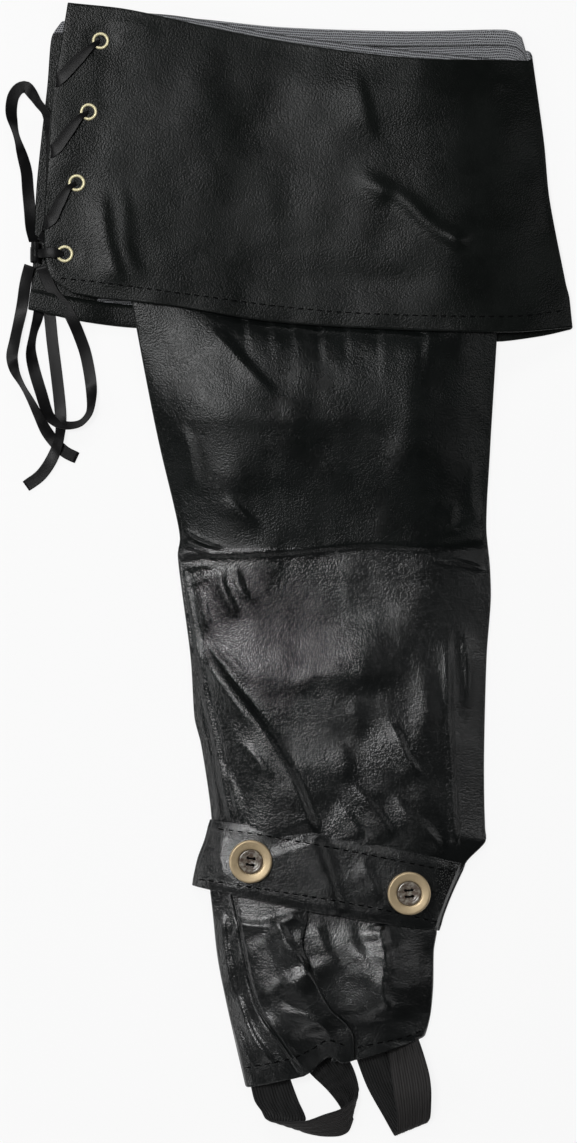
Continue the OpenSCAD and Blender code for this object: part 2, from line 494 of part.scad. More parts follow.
cuff_front();
cuff_back();
leg_front_upper();
leg_back_upper();
leg_front_lower();
leg_back_lower();
ankle_strap_front();
ankle_strap_back();
foot_gore();
foot_front_left();
foot_front_right();
foot_back();
eyelets_front();
eyelets_back();
washers_front();
washers_back();
lace();
bow_knot();
bow_loop_upper();
bow_loop_lower();
bow_tail_left();
bow_tail_centre();
button_left_rim();
button_left_insert();
button_left_thread();
button_right_rim();
button_right_insert();
button_right_thread();
stirrup_left();
stirrup_left_ends();
stirrup_right();
stirrup_right_ends();
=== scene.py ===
"""Costume boot top, laid flat with its front up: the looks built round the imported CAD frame.

A leather-look leg cover with a turned-down cuff that is laced with satin ribbon at the left, a
leg tube with a packing crease, an ankle band with two buttons, a foot flap and two elastic
stirrups.  Every outline is in millimetres in the CAD's own frame: +X right, +Y up the photograph,
+Z towards the camera.  Meshes are built in metres.
"""

import json
import logging
import math
from dataclasses import dataclass
from enum import Enum

import bpy
import numpy as np
from mathutils import Vector
from mathutils.bvhtree import BVHTree
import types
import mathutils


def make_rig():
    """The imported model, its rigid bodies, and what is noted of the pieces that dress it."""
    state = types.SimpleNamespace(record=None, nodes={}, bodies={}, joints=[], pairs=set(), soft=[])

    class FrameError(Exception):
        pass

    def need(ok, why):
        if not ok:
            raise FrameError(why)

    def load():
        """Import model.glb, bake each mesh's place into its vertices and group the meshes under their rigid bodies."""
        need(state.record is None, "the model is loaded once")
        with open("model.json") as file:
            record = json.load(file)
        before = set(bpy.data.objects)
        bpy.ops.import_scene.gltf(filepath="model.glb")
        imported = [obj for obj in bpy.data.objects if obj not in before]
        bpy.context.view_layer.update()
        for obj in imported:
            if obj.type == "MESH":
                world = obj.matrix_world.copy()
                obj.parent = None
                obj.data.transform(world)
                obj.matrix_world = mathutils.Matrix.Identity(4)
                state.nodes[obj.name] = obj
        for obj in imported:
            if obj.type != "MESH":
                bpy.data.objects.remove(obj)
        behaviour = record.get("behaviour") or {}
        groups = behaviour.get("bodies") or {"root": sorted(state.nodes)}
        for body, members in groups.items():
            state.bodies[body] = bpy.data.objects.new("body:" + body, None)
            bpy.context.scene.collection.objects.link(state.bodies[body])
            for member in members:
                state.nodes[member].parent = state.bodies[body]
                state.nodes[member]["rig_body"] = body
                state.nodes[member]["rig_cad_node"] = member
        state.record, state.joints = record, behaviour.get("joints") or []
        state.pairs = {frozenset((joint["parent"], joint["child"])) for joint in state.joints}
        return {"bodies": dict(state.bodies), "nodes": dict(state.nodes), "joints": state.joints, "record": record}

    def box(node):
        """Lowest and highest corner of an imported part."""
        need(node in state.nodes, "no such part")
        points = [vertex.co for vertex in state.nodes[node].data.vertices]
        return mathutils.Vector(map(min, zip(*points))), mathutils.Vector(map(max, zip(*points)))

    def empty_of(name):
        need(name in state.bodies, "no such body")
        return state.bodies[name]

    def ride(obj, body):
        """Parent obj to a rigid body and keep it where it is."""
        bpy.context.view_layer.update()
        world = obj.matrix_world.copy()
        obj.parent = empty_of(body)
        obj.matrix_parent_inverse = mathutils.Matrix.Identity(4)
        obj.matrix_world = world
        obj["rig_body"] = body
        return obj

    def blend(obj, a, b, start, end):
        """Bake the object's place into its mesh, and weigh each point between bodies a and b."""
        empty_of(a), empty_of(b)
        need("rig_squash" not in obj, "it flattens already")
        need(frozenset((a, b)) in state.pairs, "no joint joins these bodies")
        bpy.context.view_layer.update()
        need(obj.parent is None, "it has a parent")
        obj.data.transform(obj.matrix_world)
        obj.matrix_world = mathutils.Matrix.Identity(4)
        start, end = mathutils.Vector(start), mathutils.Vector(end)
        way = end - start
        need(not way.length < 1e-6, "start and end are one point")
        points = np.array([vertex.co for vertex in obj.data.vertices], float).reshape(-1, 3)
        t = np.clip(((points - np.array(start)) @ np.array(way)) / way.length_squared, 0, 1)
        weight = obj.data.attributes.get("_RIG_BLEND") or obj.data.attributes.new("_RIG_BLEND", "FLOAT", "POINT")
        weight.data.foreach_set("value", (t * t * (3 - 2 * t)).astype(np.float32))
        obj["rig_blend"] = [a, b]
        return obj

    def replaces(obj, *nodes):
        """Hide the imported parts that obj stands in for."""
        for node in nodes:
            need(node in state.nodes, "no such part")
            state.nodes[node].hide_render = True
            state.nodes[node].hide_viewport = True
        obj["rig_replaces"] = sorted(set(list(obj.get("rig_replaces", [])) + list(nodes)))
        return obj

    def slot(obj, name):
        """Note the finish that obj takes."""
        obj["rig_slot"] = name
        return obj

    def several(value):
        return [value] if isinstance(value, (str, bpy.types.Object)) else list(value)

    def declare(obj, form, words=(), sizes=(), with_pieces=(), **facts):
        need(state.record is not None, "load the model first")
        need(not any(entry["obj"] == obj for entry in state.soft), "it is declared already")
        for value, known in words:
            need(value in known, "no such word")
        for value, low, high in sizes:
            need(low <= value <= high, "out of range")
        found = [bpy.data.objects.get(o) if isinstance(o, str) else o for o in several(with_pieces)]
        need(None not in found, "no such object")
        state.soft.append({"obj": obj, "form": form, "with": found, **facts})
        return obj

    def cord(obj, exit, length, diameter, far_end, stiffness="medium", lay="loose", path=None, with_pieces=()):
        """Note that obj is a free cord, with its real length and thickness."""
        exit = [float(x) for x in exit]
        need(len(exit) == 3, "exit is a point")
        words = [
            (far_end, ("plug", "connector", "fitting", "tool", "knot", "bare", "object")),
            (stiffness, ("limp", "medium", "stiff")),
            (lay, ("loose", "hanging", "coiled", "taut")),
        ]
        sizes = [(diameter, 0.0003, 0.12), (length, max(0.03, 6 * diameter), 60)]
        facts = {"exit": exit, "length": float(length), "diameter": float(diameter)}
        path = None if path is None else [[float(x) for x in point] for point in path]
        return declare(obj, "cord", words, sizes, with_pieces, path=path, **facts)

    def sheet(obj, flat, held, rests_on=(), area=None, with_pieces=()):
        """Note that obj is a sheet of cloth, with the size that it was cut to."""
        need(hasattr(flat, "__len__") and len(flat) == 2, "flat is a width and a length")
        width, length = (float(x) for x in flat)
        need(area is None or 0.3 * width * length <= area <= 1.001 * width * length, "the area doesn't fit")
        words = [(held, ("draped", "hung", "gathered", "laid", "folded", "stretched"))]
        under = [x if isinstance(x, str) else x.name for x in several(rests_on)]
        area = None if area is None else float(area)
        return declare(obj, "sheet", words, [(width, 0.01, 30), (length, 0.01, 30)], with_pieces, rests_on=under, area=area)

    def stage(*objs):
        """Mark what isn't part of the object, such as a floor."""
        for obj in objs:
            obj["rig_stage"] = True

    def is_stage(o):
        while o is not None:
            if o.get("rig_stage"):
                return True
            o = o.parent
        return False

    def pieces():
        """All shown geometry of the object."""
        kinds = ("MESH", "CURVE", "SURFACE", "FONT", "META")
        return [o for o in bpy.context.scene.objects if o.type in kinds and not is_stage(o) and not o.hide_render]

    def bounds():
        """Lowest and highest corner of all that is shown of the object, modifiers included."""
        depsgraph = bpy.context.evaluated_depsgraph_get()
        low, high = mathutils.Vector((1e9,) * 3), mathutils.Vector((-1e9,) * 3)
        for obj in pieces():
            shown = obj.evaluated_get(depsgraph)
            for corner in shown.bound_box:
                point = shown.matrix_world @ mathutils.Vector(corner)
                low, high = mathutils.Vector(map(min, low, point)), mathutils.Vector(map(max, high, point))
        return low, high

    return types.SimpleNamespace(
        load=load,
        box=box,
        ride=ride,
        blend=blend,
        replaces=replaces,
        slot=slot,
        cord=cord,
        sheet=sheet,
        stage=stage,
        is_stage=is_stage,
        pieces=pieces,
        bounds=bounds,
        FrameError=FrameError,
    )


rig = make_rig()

LOG = logging.getLogger("boot_top")
MM = 0.001

# ---- What the photograph says -------------------------------------------------------------

PHOTO_W, PHOTO_H = 577, 1143
IMAGE_POINTS = {
    "left_edge": (28, None),
    "right_edge": (571, None),
    "top_edge": (None, 3),
    "bottom_edge": (None, 1138),
    "cuff_top_left": (68, 3),
    "cuff_top_right": (529, 60),
    "cuff_hem_stitch": (269, 306),
    "eyelet_first": (100.3, 40.9),
    "eyelet_last": (65.5, 254.2),
    "crease_left": (182, 556),
    "crease_right": (486, 541),
    "band_low_left": (193, 886),
    "band_up_right": (465, 866),
    "band_upper_stitch": (318, 845),
    "button_left": (250.7, 861.9),
    "button_right": (409.5, 893.7),
    "foot_low_corner": (246, 1088),
    "foot_hem_stitch": (378, 1042),
}

MIDDLE, NEAREST = None, (0, 0)
REACH_PX = 30.0
SLAB_PX = 3.0

# The piece that shows each point, and the way out of it: a corner is its outermost vertex that way, and an
# edge point, whose way runs along one axis, is measured on that axis alone.
SHOWN_BY = {
    "cuff_top_left": ("cuff", (-1, -1)),
    "cuff_top_right": ("cuff", (1, -0.25)),
    "cuff_hem_stitch": ("cuff_hem_stitches", NEAREST),
    "eyelet_first": ("eyelet_rims_front", MIDDLE),
    "eyelet_last": ("eyelet_rims_front", MIDDLE),
    "crease_left": ("leg", (-1, 0)),
    "crease_right": ("leg", (1, 0)),
    "band_low_left": ("ankle_band", (-1, 1)),
    "band_up_right": ("ankle_band", (1, -1)),
    "band_upper_stitch": ("band_upper_stitches", NEAREST),
    "button_left": ("button_left_metal", MIDDLE),
    "button_right": ("button_right_metal", MIDDLE),
    "foot_low_corner": ("foot_gore_panel", (-1, 1)),
    "foot_hem_stitch": ("side_hem_stitches", NEAREST),
}

LENS_MM = 135.0
SENSOR_MM = 36.0
CAMERA_X = -0.0058
CAMERA_Y = -0.0005
CAMERA_HEIGHT = 2.283


# ---- Curves and grids ----------------------------------------------------------------------


def smooth_line(points: object, count: int, even: bool = True) -> np.ndarray:
    """A smooth curve through points.

    Args:
        points: the points it passes, in any number of dimensions.
        count: how many points to return.
        even: whether they lie at even steps along the curve.

    Returns:
        An array of count points.
    """
    p = np.asarray(points, float)
    if len(p) == 2:
        return p[0] + (p[1] - p[0]) * np.linspace(0, 1, count)[:, None]
    ends = np.vstack([2 * p[0] - p[1], p, 2 * p[-1] - p[-2]])
    steps = 12
    out = []
    for a, b, c, d in zip(ends[:-3], ends[1:-2], ends[2:-1], ends[3:]):
        t = np.linspace(0, 1, steps, endpoint=False)[:, None]
        tangent_b = (c - a) / 2 * min(1, np.linalg.norm(c - b) / (np.linalg.norm(b - a) + 1e-9))
        tangent_c = (d - b) / 2 * min(1, np.linalg.norm(c - b) / (np.linalg.norm(d - c) + 1e-9))
        out.append(b * (2 * t**3 - 3 * t**2 + 1) + c * (3 * t**2 - 2 * t**3)
                   + tangent_b * (t**3 - 2 * t**2 + t) + tangent_c * (t**3 - t**2))
    line = np.vstack(out + [p[-1:]])
    if not even:
        pick = np.linspace(0, len(line) - 1, count)
        return np.stack([np.interp(pick, np.arange(len(line)), c) for c in line.T], 1)
    return resample(line, np.linspace(0, 1, count))


def resample(line: np.ndarray, shares: np.ndarray) -> np.ndarray:
    """Points of a line at shares of its length."""
    run = np.concatenate([[0], np.cumsum(np.linalg.norm(np.diff(line, axis=0), axis=1))])
    return np.stack([np.interp(shares * run[-1], run, c) for c in line.T], 1)


def shares_along(length: float, step: float, edge: float = 0.6, close: int = 4) -> np.ndarray:
    """Shares of a length, with a few closer ones at both ends.

    Args:
        length: the whole length.
        step: the usual step.
        edge: the step close to the ends.
        close: how many such steps each end has.

    Returns:
        Rising shares from 0 to 1.
    """
    near = np.arange(close) * edge
    middle = np.linspace(close * edge, length - close * edge, max(2, int(length / step)))
    return np.concatenate([near, middle, (length - near)[::-1]]) / length


def ramp(s: np.ndarray) -> np.ndarray:
    """A smooth step from 0 to 1."""
    s = np.clip(s, 0, 1)
    return s * s * (3 - 2 * s)


def rounding(s: np.ndarray) -> np.ndarray:
    """A quarter wave from 0 to 1."""
    return np.sin(np.pi / 2 * np.clip(s, 0, 1))


def patch(top: object, bottom: object, left: object, right: object, across: np.ndarray,
          down: np.ndarray) -> np.ndarray:
    """A grid between four outlines in plan.

    Args:
        top, bottom: outlines from left to right, in millimetres.
        left, right: outlines from top to bottom.
        across, down: shares of the columns and rows.

    Returns:
        An array of rows by columns by 2.
    """
    fine = 200
    t = resample(smooth_line(top, fine), across)[None]
    b = resample(smooth_line(bottom, fine), across)[None]
    lf = resample(smooth_line(left, fine), down)[:, None]
    r = resample(smooth_line(right, fine), down)[:, None]
    u, v = across[None, :, None], down[:, None, None]
    corners = ((1 - v) * ((1 - u) * t[:, :1] + u * t[:, -1:]) + v * ((1 - u) * b[:, :1] + u * b[:, -1:]))
    return (1 - v) * t + v * b + (1 - u) * lf + u * r - corners


class FoldShape(Enum):
    """The cross-section of a fold."""

    RIDGE = "ridge"
    SWELL = "swell"
    CREASE = "crease"
    STEP = "step"


RIDGE, SWELL, CREASE, STEP = FoldShape


@dataclass(frozen=True)
class Fold:
    """One fold of the fabric, laid along a route in plan.

    Args:
        route: the points of its line, in millimetres.
        height: how high it stands; below zero it is a valley.
        width: half its width, in millimetres.
        shape: its cross-section.
        fade: for a step, how far the raised side reaches.
        ends: share of its length over which each end dies away.
    """

    route: tuple
    height: float
    width: float
    shape: FoldShape = RIDGE
    fade: float = 14.0
    ends: tuple = (0.3, 0.3)

    def lift(self, xy: np.ndarray) -> np.ndarray:
        """How much the fold raises each of the points xy, in millimetres."""
        line = smooth_line(self.route, 28)
        reach = 6 * self.width + (3 * self.fade if self.shape is STEP else 0)
        near = np.all((xy > line.min(0) - reach) & (xy < line.max(0) + reach), 1)
        out = np.zeros(len(xy))
        p = xy[near]
        if not len(p):
            return out
        best = np.full(len(p), 1e9)
        side = np.zeros(len(p))
        along = np.zeros(len(p))
        run = np.linspace(0, 1, len(line))
        for k, (a, b) in enumerate(zip(line[:-1], line[1:])):
            d = b - a
            t = np.clip((p - a) @ d / (d @ d), 0, 1)
            off = p - a - t[:, None] * d
            far = np.hypot(off[:, 0], off[:, 1])
            closer = far < best
            best = np.where(closer, far, best)
            side = np.where(closer, np.sign(d[0] * off[:, 1] - d[1] * off[:, 0]) * far, side)
            along = np.where(closer, run[k] + t * (run[k + 1] - run[k]), along)
        taper = ramp(along / max(self.ends[0], 1e-6)) * ramp((1 - along) / max(self.ends[1], 1e-6))
        s = best / self.width
        if self.shape is RIDGE:
            form = (1 + s * s) ** -1.6
        elif self.shape is SWELL:
            form = np.exp(-s * s)
        elif self.shape is CREASE:
            form = 0.5 * np.exp(-((s - 2.4) / 1.2) ** 2) - np.exp(-s * s)
        else:
            form = 0.5 * (1 + np.tanh(side / self.width)) * np.exp(-np.clip(side, 0, None) / self.fade)
        out[near] = self.height * taper * form
        return out


def ripples(xy: np.ndarray, seed: int, longest: float, height: float, waves: int = 26) -> np.ndarray:
    """Gentle random waves over the plan, as soft fabric has.

    Args:
        xy: points in millimetres.
        seed: what the waves are drawn from.
        longest: their longest wavelength.
        height: their rough height.
        waves: how many are added up.

    Returns:
        The lift of each point.
    """
    rng = np.random.default_rng(seed)
    length = longest * rng.uniform(0.3, 1, waves)
    turn = rng.uniform(0, 2 * np.pi, waves)
    phase = rng.uniform(0, 2 * np.pi, waves)
    k = 2 * np.pi / length
    waves_at = np.sin(xy[:, :1] * (k * np.cos(turn)) + xy[:, 1:2] * (k * np.sin(turn)) + phase)
    return height * (waves_at * (length / longest)).sum(1) / math.sqrt(waves)


def normals_of(grid: np.ndarray, closed: bool = False) -> np.ndarray:
    """The outward normal at each point of a grid whose rows run down and columns across."""
    along = np.gradient(grid, axis=0)
    if closed:
        across = np.roll(grid, -1, 1) - np.roll(grid, 1, 1)
    else:
        across = np.gradient(grid, axis=1)
    n = np.cross(along, across)
    return n / (np.linalg.norm(n, axis=2, keepdims=True) + 1e-12)


def turned_under(grid: np.ndarray, radius: float, depth: float, top: bool = False) -> np.ndarray:
    """Adds a hem to a grid: its last row folds round and runs back underneath.

    Args:
        grid: the outer face, rows running down to the hem.
        radius: radius of the fold.
        depth: how far the fabric runs back.
        top: whether the hem is at the first row instead.

    Returns:
        The grid with the hem's rows added.
    """
    normal = normals_of(grid)
    if top:
        grid, normal = grid[::-1], normal[::-1]
    along = grid[-1] - grid[-2]
    along /= np.linalg.norm(along, axis=1, keepdims=True)
    rows = [grid[-1] + along * radius * math.sin(a) - normal[-1] * radius * (1 - math.cos(a))
            for a in np.linspace(0, math.pi, 8)[1:]]
    step = np.linalg.norm(np.diff(grid[:, grid.shape[1] // 2], axis=0), axis=1)[::-1]
    back = np.concatenate([[0], np.cumsum(step)])
    for d in np.linspace(0, depth, 5)[1:]:
        k = len(grid) - 1 - np.interp(d, back, np.arange(len(back)))
        low = int(k)
        f = k - low
        high = min(low + 1, len(grid) - 1)
        face = grid[low] * (1 - f) + grid[high] * f
        rows.append(face - (normal[low] * (1 - f) + normal[high] * f) * 2 * radius)
    out = np.concatenate([grid, np.array(rows)])
    return out[::-1] if top else out


def edge_arc(front: np.ndarray, back: np.ndarray, steps: int = 5) -> np.ndarray:
    """The rounded side of a flat tube, between an edge of its front and one of its back.

    Args:
        front: the edge's points on the front.
        back: those on the back, below them.
        steps: how many points go round between them.

    Returns:
        Points by rows, from front to back.
    """
    middle = (front + back) / 2
    up = (front - back) / 2
    radius = np.linalg.norm(up, axis=1, keepdims=True)
    along = np.gradient(middle, axis=0)
    out = np.cross(up, along)
    out = out / (np.linalg.norm(out, axis=1, keepdims=True) + 1e-12) * radius
    angles = np.linspace(0, math.pi, steps + 2)[1:-1]
    return np.stack([middle + up * math.cos(a) + out * math.sin(a) for a in angles], 1)


# ---- Meshes ----------------------------------------------------------------------------------


def new_object(name: str, points: np.ndarray, faces: list, uv: object = None) -> bpy.types.Object:
    """A smooth-shaded mesh object in the scene.

    Args:
        name: the piece's name.
        points: its vertices in millimetres.
        faces: vertex numbers of each face.
        uv: a UV pair in metres for each vertex.

    Returns:
        The object.
    """
    mesh = bpy.data.meshes.new(name)
    mesh.from_pydata((np.asarray(points).reshape(-1, 3) * MM).tolist(), [], faces)
    mesh.validate()
    mesh.polygons.foreach_set("use_smooth", [True] * len(mesh.polygons))
    if uv is not None:
        layer = mesh.uv_layers.new(name="UVMap")
        corner = np.empty(len(mesh.loops), int)
        mesh.loops.foreach_get("vertex_index", corner)
        layer.data.foreach_set("uv", (np.asarray(uv, float).reshape(-1, 2)[corner] * MM).ravel())
    mesh.update()
    obj = bpy.data.objects.new(name, mesh)
    bpy.context.scene.collection.objects.link(obj)
    return obj


def tree_of(*objects: bpy.types.Object) -> BVHTree:
    """The surface of some mesh objects, for rays."""
    points, faces = [], []
    for obj in objects:
        first = len(points)
        points += [v.co.copy() for v in obj.data.vertices]
        faces += [[first + i for i in p.vertices] for p in obj.data.polygons]
    return BVHTree.FromPolygons(points, faces)


def shell(name: str, outer: np.ndarray, thickness: float, closed: bool = False) -> bpy.types.Object:
    """A sheet of fabric with an outer face, an inner face and rounded cut edges.

    Args:
        name: the piece's name.
        outer: the outer face's grid in millimetres.
        thickness: of the fabric.
        closed: whether the columns join up as a tube.

    Returns:
        The object, whose faces have material 0 outside and 1 inside.
    """
    rows, columns = outer.shape[:2]
    inner = outer - normals_of(outer, closed) * thickness
    run_u = np.concatenate([np.zeros((rows, 1)),
                            np.cumsum(np.linalg.norm(np.diff(outer, axis=1), axis=2), 1)], 1)
    run_v = np.concatenate([np.zeros((1, columns)),
                            np.cumsum(np.linalg.norm(np.diff(outer, axis=0), axis=2), 0)], 0)
    uv = np.stack([run_u, run_v], 2)
    number = np.arange(rows * columns).reshape(rows, columns)
    if closed:
        number = np.concatenate([number, number[:, :1]], 1)
    a, b = number[:-1, :-1].ravel(), number[1:, :-1].ravel()
    c, d = number[1:, 1:].ravel(), number[:-1, 1:].ravel()
    low = rows * columns
    faces = np.stack([a, b, c, d], 1).tolist()
    faces += (np.stack([a, d, c, b], 1) + low).tolist()
    outside = len(a)
    if closed:
        loops = [number[-1, :-1], number[0, :-1][::-1]]
    else:
        loops = [np.concatenate([number[-1, :-1], number[:0:-1, -1], number[0, :0:-1], number[:-1, 0]])]
    points = [outer.reshape(-1, 3), inner.reshape(-1, 3)]
    uvs = [uv.reshape(-1, 2), uv.reshape(-1, 2)]
    first = 2 * low
    for loop in loops:
        i, j = np.divmod(loop, columns)
        inward = outer[np.clip(i, 1, rows - 2), j if closed else np.clip(j, 1, columns - 2)]
        edge = outer[i, j]
        away = edge - inward
        away /= np.linalg.norm(away, axis=1, keepdims=True) + 1e-12
        points.append((edge + inner[i, j]) / 2 + away * thickness * 0.4)
        uvs.append(uv[i, j])
        n = len(loop)
        k = np.arange(n)
        mid, after = first + k, first + (k + 1) % n
        following = np.roll(loop, -1)
        faces += np.stack([loop, mid, after, following], 1).tolist()
        faces += np.stack([mid, loop + low, following + low, after], 1).tolist()
        first += n
    obj = new_object(name, np.concatenate(points), faces, np.concatenate(uvs))
    material = np.zeros(len(obj.data.polygons), np.int32)
    material[outside:2 * outside] = 1
    obj.data.polygons.foreach_set("material_index", material)
    return obj


def strip(name: str, edge_a: np.ndarray, edge_b: np.ndarray, thickness: float, columns: int,
          camber: float = 0.0, ribs: int = 0, rib_height: float = 0.0) -> bpy.types.Object:
    """A band of ribbon or elastic between two edges in space.

    Args:
        name: the piece's name.
        edge_a, edge_b: matching points of its two edges, in millimetres.
        thickness: of the band.
        columns: how many points lie across it.
        camber: how far its middle bows up.
        ribs: how many ribs run along it.
        rib_height: how high they stand.

    Returns:
        The object, with material 0 on the upper face and 1 on the lower one.
    """
    u = np.concatenate([[0], np.linspace(0.03, 0.97, columns), [1]])
    grid = edge_a[:, None] * (1 - u)[None, :, None] + edge_b[:, None] * u[None, :, None]
    normal = normals_of(grid)
    lift = camber * np.sin(np.pi * u)
    if ribs:
        lift = lift + rib_height * np.abs(np.sin(np.pi * u * ribs))
    return shell(name, grid + normal * lift[None, :, None], thickness)


def lathe(profile: object, sides: int = 96) -> tuple:
    """Turns a profile round +Z.

    Args:
        profile: radius and height pairs in millimetres, going round its section.
        sides: how many steps round.

    Returns:
        Points, faces and UV pairs: the share of the turn and the distance along the profile.
    """
    p = np.asarray(profile, float)
    n = len(p)
    turn = np.linspace(0, 2 * np.pi, sides, endpoint=False)
    points = np.stack([np.outer(np.cos(turn), p[:, 0]), np.outer(np.sin(turn), p[:, 0]),
                       np.tile(p[:, 1], (sides, 1))], 2).reshape(-1, 3)
    faces = []
    for i in range(sides):
        for j in range(n):
            a, b = i * n + j, i * n + (j + 1) % n
            c, d = ((i + 1) % sides) * n + (j + 1) % n, ((i + 1) % sides) * n + j
            faces.append([a, d, c, b])
    run = np.concatenate([[0], np.cumsum(np.linalg.norm(np.diff(p, axis=0), axis=1))])
    uv = np.stack([np.repeat(np.linspace(0, 40, sides), n), np.tile(run, sides)], 1)
    return points, faces, uv


def rounded(profile: object, radius: float, steps: int = 3) -> np.ndarray:
    """A closed profile with each corner cut back and rounded."""
    p = np.asarray(profile, float)
    out = []
    for before, here, after in zip(np.roll(p, 1, 0), p, np.roll(p, -1, 0)):
        a, b = before - here, after - here
        r = min(radius, np.linalg.norm(a) * 0.45, np.linalg.norm(b) * 0.45)
        a, b = here + a / np.linalg.norm(a) * r, here + b / np.linalg.norm(b) * r
        for t in np.linspace(0, 1, steps):
            out.append(a * (1 - t) ** 2 + here * 2 * t * (1 - t) + b * t * t)
    return np.array(out)


# ---- Shader node groups and finishes -------------------------------------------------------


class Pattern:
    """A small helper that lays nodes out in a shader node group and links them."""

    def __init__(self, name: str, inputs: dict, outputs: dict) -> None:
        """Makes the group with its named sockets.

        Args:
            name: the group's name.
            inputs: socket name to (socket type, default value).
            outputs: socket name to socket type.
        """
        self.tree = bpy.data.node_groups.new(name, "ShaderNodeTree")
        for label, (kind, value) in inputs.items():
            socket = self.tree.interface.new_socket(name=label, in_out="INPUT", socket_type=kind)
            if value is not None:
                socket.default_value = value
        for label, kind in outputs.items():
            self.tree.interface.new_socket(name=label, in_out="OUTPUT", socket_type=kind)
        self.given = self.tree.nodes.new("NodeGroupInput")
        self.result = self.tree.nodes.new("NodeGroupOutput")

    def node(self, kind: str, settings: dict = None, **links: object) -> bpy.types.Node:
        """Adds a node.

        Args:
            kind: the node's type.
            settings: its properties.
            links: input socket name or number (as _0) to a value or an output socket.

        Returns:
            The node.
        """
        return add_node(self.tree, kind, settings, **links)

    def output(self, label: str, socket: bpy.types.NodeSocket) -> None:
        """Sends a socket to one of the group's outputs."""
        self.tree.links.new(socket, self.result.inputs[label])


def feed(tree: bpy.types.NodeTree, socket: bpy.types.NodeSocket, value: object) -> None:
    """Links an output socket into a socket, or sets a plain value on it."""
    if isinstance(value, bpy.types.NodeSocket):
        tree.links.new(value, socket)
    else:
        socket.default_value = value


def add_node(tree: bpy.types.NodeTree, kind: str, settings: dict = None, **links: object) -> bpy.types.Node:
    """Adds a node to a tree and fills its inputs with values or links.

    Args:
        tree: the node tree.
        kind: the node's type.
        settings: its properties.
        links: input names, or _0, _1 for numbered inputs, to values or output sockets.

    Returns:
        The node.
    """
    node = tree.nodes.new(kind)
    for key, value in (settings or {}).items():
        setattr(node, key, value)
    for key, value in links.items():
        feed(tree, node.inputs[int(key[1:]) if key[0] == "_" else key.replace("_", " ")], value)
    return node


def math_node(tree: bpy.types.NodeTree, operation: str, *values: object) -> bpy.types.NodeSocket:
    """A Math node's output, from numbers or sockets."""
    links = {f"_{i}": v for i, v in enumerate(values)}
    return add_node(tree, "ShaderNodeMath", {"operation": operation}, **links).outputs[0]


def pebble_grain_group() -> bpy.types.NodeTree:
    """Leather grain: rounded pebbles with finer creases between them, and how worn each place is."""
    g = Pattern("pebble_grain", {"Vector": ("NodeSocketVector", None), "Scale": ("NodeSocketFloat", 900.0)},
                {"Height": "NodeSocketFloat", "Cloud": "NodeSocketFloat"})
    where, scale = g.given.outputs["Vector"], g.given.outputs["Scale"]
    warp = g.node("ShaderNodeTexNoise", {"noise_dimensions": "3D"}, Vector=where, Scale=260.0, Detail=2.0)
    moved = g.node("ShaderNodeVectorMath", {"operation": "MULTIPLY_ADD"}, _0=warp.outputs["Color"],
                   _1=(0.0011, 0.0011, 0.0011), _2=where)
    cells = g.node("ShaderNodeTexVoronoi", {"feature": "SMOOTH_F1"}, Vector=moved.outputs[0], Scale=scale,
                   Smoothness=0.35)
    fine = g.node("ShaderNodeTexNoise", {}, Vector=where, Scale=2600.0, Detail=2.0)
    pebble = math_node(g.tree, "SUBTRACT", 1.0, cells.outputs["Distance"])
    height = math_node(g.tree, "MULTIPLY_ADD", fine.outputs["Fac"], 0.35, pebble)
    g.output("Height", height)
    cloud = g.node("ShaderNodeTexNoise", {}, Vector=where, Scale=34.0, Detail=5.0, Roughness=0.6)
    g.output("Cloud", cloud.outputs["Fac"])
    return g.tree


def woven_rows_group() -> bpy.types.NodeTree:
    """Threads that cross at right angles: their height and the dark holes between them."""
    g = Pattern("woven_rows", {"Vector": ("NodeSocketVector", None), "Across": ("NodeSocketFloat", 1000.0),
                               "Along": ("NodeSocketFloat", 1000.0)},
                {"Height": "NodeSocketFloat", "Hole": "NodeSocketFloat", "Tone": "NodeSocketFloat"})
    where = g.given.outputs["Vector"]
    wander = g.node("ShaderNodeTexNoise", {}, Vector=where, Scale=120.0, Detail=2.0)
    moved = g.node("ShaderNodeVectorMath", {"operation": "MULTIPLY_ADD"}, _0=wander.outputs["Color"],
                   _1=(0.0012, 0.0012, 0.0), _2=where)
    split = g.node("ShaderNodeSeparateXYZ", {}, Vector=moved.outputs[0])
    waves = []
    for axis, count in (("X", "Across"), ("Y", "Along")):
        turn = math_node(g.tree, "MULTIPLY", split.outputs[axis], g.given.outputs[count])
        wave = math_node(g.tree, "SINE", math_node(g.tree, "MULTIPLY", turn, 2 * math.pi))
        waves.append(math_node(g.tree, "MULTIPLY_ADD", wave, 0.5, 0.5))
    g.output("Height", math_node(g.tree, "MAXIMUM", *waves))
    low = math_node(g.tree, "SUBTRACT", 1.0, math_node(g.tree, "MAXIMUM", *waves))
    g.output("Hole", math_node(g.tree, "SMOOTH_MIN", math_node(g.tree, "MULTIPLY", low, 2.2), 1.0, 0.3))
    tone = g.node("ShaderNodeTexNoise", {}, Vector=where, Scale=420.0, Detail=3.0)
    g.output("Tone", tone.outputs["Fac"])
    return g.tree


